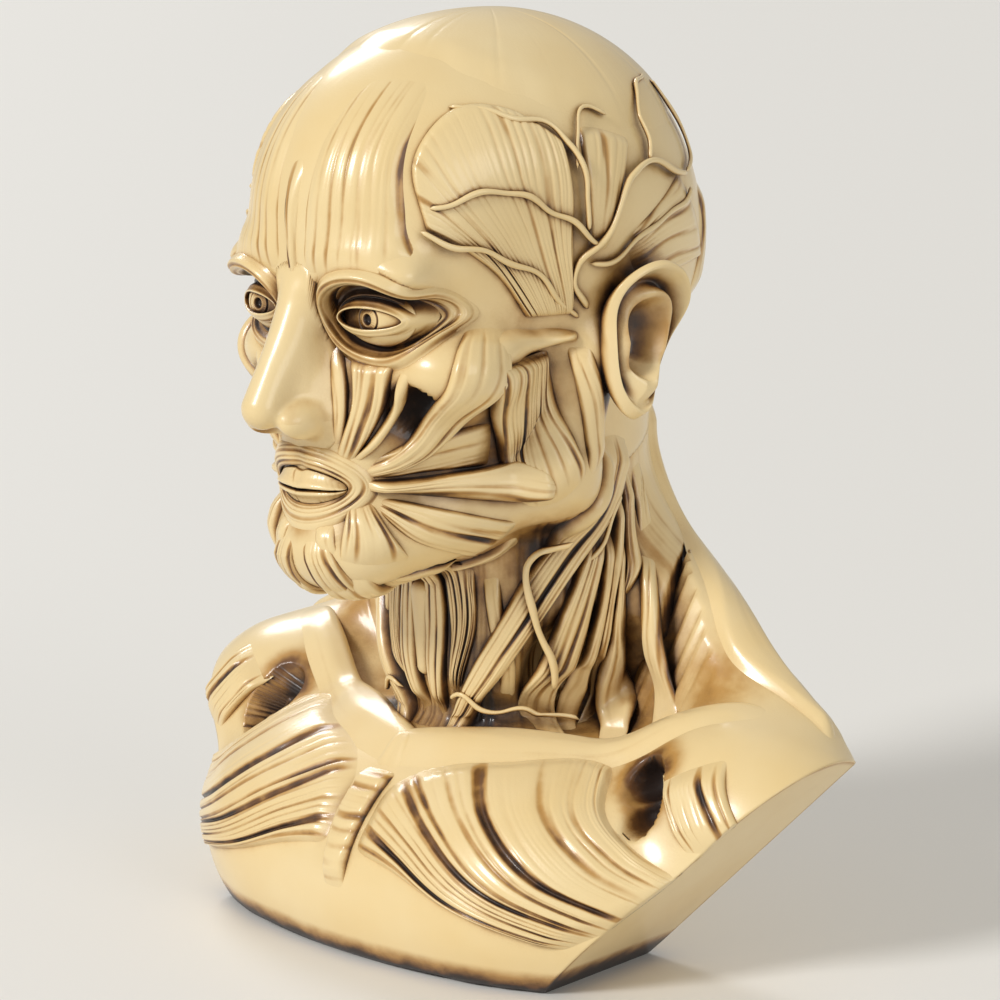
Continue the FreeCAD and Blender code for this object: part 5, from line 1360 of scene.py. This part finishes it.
def add_node(tree, kind, settings=None, values=None, links=None):
    """Adds a node, sets its properties and its sockets' values, and links sockets from other nodes."""
    node = tree.nodes.new(kind)
    for key, value in (settings or {}).items():
        setattr(node, key, value)
    for key, value in (values or {}).items():
        node.inputs[key].default_value = value
    for key, source in (links or {}).items():
        tree.links.new(source, node.inputs[key])
    return node


# The resin's noises: grain in millimetres, and detail
CLOUD, BLOTCH, GRAIN = (25, 3.0), (5, 4.0), (0.5, 2.0)
# A hollow under this wide is darkened with wash and painted shade, between these shares of open sky
SHADED_HOLLOW_WIDTH, OPEN_SKY, CLOSED_SKY = 0.0065, 0.88, 0.28
LINE_WASH = 0.72
# Each darker film of wash and painted shade: its colour, and where it starts and covers what lies below
FILMS = [("tan", 0.04, 0.36), ("brown", 0.32, 0.66), ("umber", 0.66, 0.98)]


def antiqued_resin(name, colours):
    """Cast polyurethane resin, painted ivory, rubbed with brown wash and varnished. The eye sees a warm
    cream on the high places, brown wash in the carved lines, brown wash and painted shade in the hollows
    and between the pieces, and a bright, soft-edged gloss."""
    material = bpy.data.materials.new(name)
    material.use_nodes = True
    tree = material.node_tree
    tree.nodes.clear()
    where = add_node(tree, "ShaderNodeTexCoord").outputs["Object"]
    # Cloudy tone over about 25 mm, blotches of wash over 5 mm, and a grain of 0.5 mm
    cloud, blotch, grain = [
        add_node(tree, "ShaderNodeTexNoise", values={"Scale": 1000 / size, "Detail": detail},
                 links={"Vector": where}).outputs["Fac"] for size, detail in (CLOUD, BLOTCH, GRAIN)]
    # Wash lies in the carved lines, and wash and painted shade lie in the hollows and between the pieces,
    # from the wash attribute and from ambient occlusion, unevenly
    wash_and_shade_attribute = add_node(tree, "ShaderNodeAttribute", {"attribute_name": "wash"})
    painted_shade_occlusion = add_node(tree, "ShaderNodeAmbientOcclusion", {"samples": 8}, {"Distance": SHADED_HOLLOW_WIDTH})
    shade = add_node(tree, "ShaderNodeMapRange", values={
        "From Min": OPEN_SKY, "From Max": CLOSED_SKY, "To Min": 0.0, "To Max": 1.0},
        links={"Value": painted_shade_occlusion.outputs["AO"]})
    lines = add_node(tree, "ShaderNodeMath", {"operation": "MULTIPLY"}, {1: LINE_WASH},
                     {0: wash_and_shade_attribute.outputs["Fac"]})
    both = add_node(tree, "ShaderNodeMath", {"operation": "ADD"},
                    links={0: lines.outputs[0], 1: shade.outputs[0]})
    uneven = add_node(tree, "ShaderNodeMapRange", values={
        "From Min": 0.3, "From Max": 0.7, "To Min": 0.65, "To Max": 1.2}, links={"Value": blotch})
    wash = add_node(tree, "ShaderNodeMath", {"operation": "MULTIPLY", "use_clamp": True},
                    links={0: both.outputs[0], 1: uneven.outputs[0]})
    # Ivory and honey paint, under films of wash and painted shade that go from tan to umber as they gather
    tone = add_node(tree, "ShaderNodeMix", {"data_type": "RGBA"}, {6: colours["ivory"], 7: colours["honey"]},
                    {0: cloud})
    previous = tone.outputs[2]
    for colour, start, end in FILMS:
        step = add_node(tree, "ShaderNodeMapRange", {"interpolation_type": "SMOOTHSTEP"}, {
            "From Min": start, "From Max": end}, {"Value": wash.outputs[0]})
        mixed = add_node(tree, "ShaderNodeMix", {"data_type": "RGBA"}, {7: colours[colour]},
                         {0: step.outputs[0], 6: previous})
        previous = mixed.outputs[2]
    # The varnish is glossier on the high places than over the wash
    rough = add_node(tree, "ShaderNodeMapRange", values={
        "From Min": 0.0, "From Max": 1.0, "To Min": 0.33, "To Max": 0.55}, links={"Value": wash.outputs[0]})
    relief = add_node(tree, "ShaderNodeBump", values={"Strength": 0.12, "Distance": 0.0002},
                      links={"Height": grain})
    surface = add_node(tree, "ShaderNodeBsdfPrincipled", values={
        "IOR": 1.5, "Coat Weight": 0.45, "Coat Roughness": 0.14}, links={
        "Base Color": previous, "Roughness": rough.outputs[0], "Normal": relief.outputs[0]})
    add_node(tree, "ShaderNodeOutputMaterial", links={"Surface": surface.outputs[0]})
    return material


def painted_floor(colour):
    """Matt white lacquered board: pale and even, with a very soft sheen."""
    material = bpy.data.materials.new("matt_white_board")
    material.use_nodes = True
    tree = material.node_tree
    tree.nodes.clear()
    where = add_node(tree, "ShaderNodeTexCoord").outputs["Object"]
    # The lacquer's grain is about 1.1 mm
    grain = add_node(tree, "ShaderNodeTexNoise", values={"Scale": 900.0, "Detail": 2.0},
                     links={"Vector": where})
    rough = add_node(tree, "ShaderNodeMapRange", values={"To Min": 0.55, "To Max": 0.68},
                     links={"Value": grain.outputs["Fac"]})
    surface = add_node(tree, "ShaderNodeBsdfPrincipled", values={"Base Color": colour},
                       links={"Roughness": rough.outputs[0]})
    add_node(tree, "ShaderNodeOutputMaterial", links={"Surface": surface.outputs[0]})
    return material


def soft_studio():
    """A soft grey room that lights from all sides, and looks as pale as the floor behind the bust."""
    world = bpy.data.worlds.new("soft_studio")
    world.use_nodes = True
    tree = world.node_tree
    tree.nodes.clear()
    rays = add_node(tree, "ShaderNodeLightPath")
    room = add_node(tree, "ShaderNodeBackground", values={"Color": linear("#F4F2EE"), "Strength": 0.47})
    backdrop = add_node(tree, "ShaderNodeBackground", values={"Color": linear("#E9E8E5"), "Strength": 1.0})
    both = add_node(tree, "ShaderNodeMixShader", links={
        0: rays.outputs["Is Camera Ray"], 1: room.outputs[0], 2: backdrop.outputs[0]})
    add_node(tree, "ShaderNodeOutputWorld", links={"Surface": both.outputs[0]})
    return world


def finish_of(context):
    """The bust's own resin, made once from the panel's colours."""
    made = bpy.data.materials.get("antiqued_ivory_resin")
    if made:
        return made
    own = context.scene.study_bust_colours
    colours = {key: list(getattr(own, key)) + [1.0] for key in ("ivory", "honey", "tan", "brown", "umber")}
    return antiqued_resin("antiqued_ivory_resin", colours)


# ---------------------------------------------------------------- panel settings

def length_property(name, description, default):
    return bpy.props.FloatProperty(
        name=name, description=description, default=default, min=0.0, unit="LENGTH", precision=5)


def colour_property(name, description, hex_colour):
    return bpy.props.FloatVectorProperty(
        name=name, description=description, default=linear(hex_colour)[:3], size=3, min=0.0, max=1.0,
        subtype="COLOR")


class StudyBustSizes(bpy.types.PropertyGroup):
    """Sizes of the carved parts."""

    muscle_thickness: length_property("Muscle thickness", "Height of a muscle of share 1", 0.002)
    vessel_radius: length_property("Vessel radius", "Radius of a vessel of share 1", 0.00058)
    scalp_thickness: length_property("Scalp thickness", "Thickness of the sheet over the crown", 0.0009)
    eyeball_radius: length_property("Eyeball radius", "Radius of the eyeballs", 0.0058)
    nose_tip_radius: length_property("Nose tip radius", "Radius of the nose's tip", 0.0048)
    lip_fullness: length_property("Lip fullness", "How far the lips swell", 0.0023)
    larynx_radius: length_property("Larynx radius", "Radius of the larynx at its top", 0.0042)
    ear_width: length_property("Ear width", "Width of the ear", 0.018)
    ear_height: length_property("Ear height", "Height of the ear", 0.032)
    ear_stand_out: length_property("Ear stand-out", "How far the rim stands out from the head", 0.009)


class StudyBustColours(bpy.types.PropertyGroup):
    """Colours of the resin, the wash and painted shade, and the floor."""

    ivory: colour_property("Ivory", "The paint on the high places", "#F2DEB0")
    honey: colour_property("Honey", "The paint where it is warmer", "#E6C685")
    tan: colour_property("Tan", "A thin film of wash", "#BE9150")
    brown: colour_property("Brown", "Wash in the carved lines", "#6E461C")
    # Umber is the darkest film, where wash and painted shade fill a hollow
    umber: colour_property("Umber", "Wash that fills a hollow", "#211006")
    floor: colour_property("Floor", "The pale board under the bust", "#E9E7E2")


# ---------------------------------------------------------------- operators

class STUDYBUST_OT_stage(bpy.types.Operator):
    """Make the pale floor, the soft lights and the camera"""

    bl_idname = "study_bust.stage"
    bl_label = "Floor, lights and camera"

    def execute(self, context):
        mesh = bpy.data.meshes.new("floor")
        corners = [(x * FLOOR_HALF, y * FLOOR_HALF, 0) for x, y in ((-1, -1), (1, -1), (1, 1), (-1, 1))]
        mesh.from_pydata(corners, [], [(0, 1, 2, 3)])
        floor = bpy.data.objects.new("floor", mesh)
        context.scene.collection.objects.link(floor)
        mesh.materials.append(painted_floor(list(context.scene.study_bust_colours.floor) + [1.0]))
        context.scene.world = soft_studio()
        for name, place_at, size, power in LAMPS:
            lamp = bpy.data.lights.new(name, "SUN")
            lamp.angle, lamp.energy = math.radians(size), power
            holder = bpy.data.objects.new(name, lamp)
            holder.location = place_at
            aim = Vector(LAMP_AIM) - Vector(place_at)
            holder.rotation_euler = aim.to_track_quat("-Z", "Y").to_euler()
            context.scene.collection.objects.link(holder)
        context.scene.collection.objects.link(make_camera(context))
        context.scene.view_settings.view_transform = "Standard"
        return {"FINISHED"}


FLOOR_HALF = 6.0
LAMP_AIM = (0.0, 0.0, 0.11)
# Lamps, far away so that the floor is even: name, place, apparent width in degrees, and power
LAMPS = [
    ("key_lamp", (-0.20, -2.30, 1.65), 16.0, 1.85),
    ("fill_lamp", (2.40, -0.30, 1.00), 30.0, 0.45),
    ("rim_lamp", (-1.90, 0.90, 1.50), 20.0, 0.70),
]
CAMERA_TURN = math.radians(46)
CAMERA_RISE = math.radians(10.5)
CAMERA_DISTANCE = 0.8
CAMERA_AIM = np.array((0.0, 0.0, 0.095))
# The photograph's frame is 1000 pixels wide, at 4890 pixels to a metre at the aim
FRAME_PIXELS = 1000.0
PIXELS_TO_METRE = 4890.0
AIM_PIXELS = (473.0, 469.3)


def make_camera(context):
    """A camera at the photograph's angle. It is turned by the few pixels that the aim lies off the
    middle of the frame, so that it needs no shift."""
    back = np.array((math.sin(CAMERA_TURN) * math.cos(CAMERA_RISE),
                     -math.cos(CAMERA_TURN) * math.cos(CAMERA_RISE), math.sin(CAMERA_RISE)))
    right = np.array((math.cos(CAMERA_TURN), math.sin(CAMERA_TURN), 0))
    up = np.cross(back, right)
    half = FRAME_PIXELS / 2
    aim = CAMERA_AIM + right * (half - AIM_PIXELS[0]) / PIXELS_TO_METRE \
        - up * (half - AIM_PIXELS[1]) / PIXELS_TO_METRE
    place_at = CAMERA_AIM + back * CAMERA_DISTANCE
    data = bpy.data.cameras.new("camera")
    data.sensor_width = 36.0
    data.lens = data.sensor_width * PIXELS_TO_METRE * CAMERA_DISTANCE / FRAME_PIXELS
    camera = bpy.data.objects.new("camera", data)
    camera.location = place_at
    camera.rotation_euler = Vector(aim - place_at).to_track_quat("-Z", "Y").to_euler()
    context.scene.camera = camera
    return camera


# Seeds of the carving, and the eye rings' thickness and the mouth ring's as shares
PAIR_SEED, MIDDLE_SEED, VESSEL_SEED, SEED_STEP = 9000, 7000, 300, 10
EYE_SHARE, MOUTH_SHARE = 0.85, 0.7


class STUDYBUST_OT_cores(bpy.types.Operator):
    """Make the cores of the head, neck and chest"""

    bl_idname = "study_bust.cores"
    bl_label = "Cores"

    def execute(self, context):
        material = finish_of(context)
        build_piece("carved_skull", [core_of_head()], "head_core", material)
        build_piece("carved_neck", [core_of_neck()], "neck_core", material)
        build_piece("carved_chest", [core_of_chest()], "chest_block", material)
        return {"FINISHED"}


def net_parts(name, nets, sizes, seed):
    """The shells of one muscle group from its table of nets."""
    field = core_surface if name in CORE_NETS else envelope
    thick = sizes.muscle_thickness
    return [net(frame_name, rails, share * thick, kind, seed + k, (start, end), lift * thick, field)
            for k, (frame_name, kind, share, lift, start, end, rails) in enumerate(nets)]


class STUDYBUST_OT_muscles(bpy.types.Operator):
    """Make the muscles of the head, jaw, neck, chest and shoulders"""

    bl_idname = "study_bust.muscles"
    bl_label = "Muscles"

    def execute(self, context):
        sizes, material = context.scene.study_bust_sizes, finish_of(context)
        for number, (name, nets) in enumerate(PAIRED_NETS.items()):
            build_pair(name, net_parts(name, nets, sizes, PAIR_SEED + SEED_STEP * number), material)
        for number, (name, (both, nets)) in enumerate(MIDDLE_NETS.items()):
            parts = net_parts(name, nets, sizes, MIDDLE_SEED + SEED_STEP * number)
            parts += [mirror(p) for p in parts] if both else []
            build_piece("carved_" + name, parts, name, material)
        return {"FINISHED"}


class STUDYBUST_OT_scalp(bpy.types.Operator):
    """Make the smooth sheet over the crown"""

    bl_idname = "study_bust.scalp"
    bl_label = "Scalp"

    def execute(self, context):
        sizes, material = context.scene.study_bust_sizes, finish_of(context)
        build_piece("carved_scalp", [scalp_sheet(sizes.scalp_thickness)], "scalp_aponeurosis", material)
        return {"FINISHED"}


class STUDYBUST_OT_rings(bpy.types.Operator):
    """Make the ring muscles round the eyes and the mouth"""

    bl_idname = "study_bust.rings"
    bl_label = "Ring muscles"

    def execute(self, context):
        sizes, material = context.scene.study_bust_sizes, finish_of(context)
        thick = EYE_SHARE * sizes.muscle_thickness
        mouth = mouth_ring(MOUTH_SHARE * thick)
        build_pair("orbicularis_oculi", [eye_ring(thick)], material)
        build_piece("carved_orbicularis_oris", [mouth], "orbicularis_oris", material)
        return {"FINISHED"}


class STUDYBUST_OT_face(bpy.types.Operator):
    """Make the eyes, lids, nose, lips and larynx"""

    bl_idname = "study_bust.face"
    bl_label = "Eyes, nose and lips"

    def execute(self, context):
        sizes, material = context.scene.study_bust_sizes, finish_of(context)
        radius = sizes.eyeball_radius
        build_pair("eyeball", [eyeball(radius)], material)
        build_pair("eyelids", [eyelids(radius)], material)
        nose = star(nose_form(sizes.nose_tip_radius), NOSE_CENTRE, NOSE_GRID, HEAD_HALF_WIDTH, nose_wash_and_shade)
        build_piece("carved_nose", [nose], "nose", material)
        build_piece("carved_lips", [lips_form(sizes.lip_fullness)], "lips", material)
        larynx = star(larynx_form(sizes.larynx_radius), LARYNX_CENTRE, LARYNX_GRID, NECK_RADIUS)
        build_piece("carved_larynx", [larynx], "larynx", material)
        return {"FINISHED"}


class STUDYBUST_OT_ears(bpy.types.Operator):
    """Make the ears"""

    bl_idname = "study_bust.ears"
    bl_label = "Ears"

    def execute(self, context):
        sizes, material = context.scene.study_bust_sizes, finish_of(context)
        build_pair("ear", [ear(sizes.ear_width, sizes.ear_height, sizes.ear_stand_out)], material)
        return {"FINISHED"}


class STUDYBUST_OT_vessels(bpy.types.Operator):
    """Make the vessels and nerves of the scalp and the neck"""

    bl_idname = "study_bust.vessels"
    bl_label = "Vessels"

    def execute(self, context):
        sizes, material = context.scene.study_bust_sizes, finish_of(context)
        groups = ("scalp_vessels", HEAD, SCALP_VESSELS), ("neck_vessels", NECK, NECK_VESSELS)
        for name, own_frame, routes in groups:
            parts = [vessel(own_frame, stations, sizes, share, VESSEL_SEED + k)
                     for k, (share, stations) in enumerate(routes)]
            build_pair(name, parts, material)
        return {"FINISHED"}


class STUDYBUST_PT_panel(bpy.types.Panel):
    """Lists the bust's parts, sizes and colours"""

    bl_idname = "STUDYBUST_PT_panel"
    bl_label = "Study Bust"
    bl_space_type = "VIEW_3D"
    bl_region_type = "UI"
    bl_category = "Study Bust"

    def draw(self, context):
        layout = self.layout
        for group in (context.scene.study_bust_sizes, context.scene.study_bust_colours):
            for key in group.__annotations__:
                layout.prop(group, key)
        for operator in OPERATORS:
            layout.operator(operator.bl_idname)


OPERATORS = [
    STUDYBUST_OT_stage, STUDYBUST_OT_cores, STUDYBUST_OT_muscles, STUDYBUST_OT_scalp, STUDYBUST_OT_rings,
    STUDYBUST_OT_face, STUDYBUST_OT_ears, STUDYBUST_OT_vessels,
]
CLASSES = [StudyBustSizes, StudyBustColours] + OPERATORS + [STUDYBUST_PT_panel]


def register():
    for cls in CLASSES:
        bpy.utils.register_class(cls)
    bpy.types.Scene.study_bust_sizes = bpy.props.PointerProperty(type=StudyBustSizes)
    bpy.types.Scene.study_bust_colours = bpy.props.PointerProperty(type=StudyBustColours)


def unregister():
    del bpy.types.Scene.study_bust_colours
    del bpy.types.Scene.study_bust_sizes
    for cls in reversed(CLASSES):
        bpy.utils.unregister_class(cls)


def main():
    register()
    bpy.ops.study_bust.stage()
    bpy.ops.study_bust.cores()
    bpy.ops.study_bust.muscles()
    bpy.ops.study_bust.scalp()
    bpy.ops.study_bust.rings()
    bpy.ops.study_bust.face()
    bpy.ops.study_bust.ears()
    bpy.ops.study_bust.vessels()


if __name__ == "__main__":
    main()
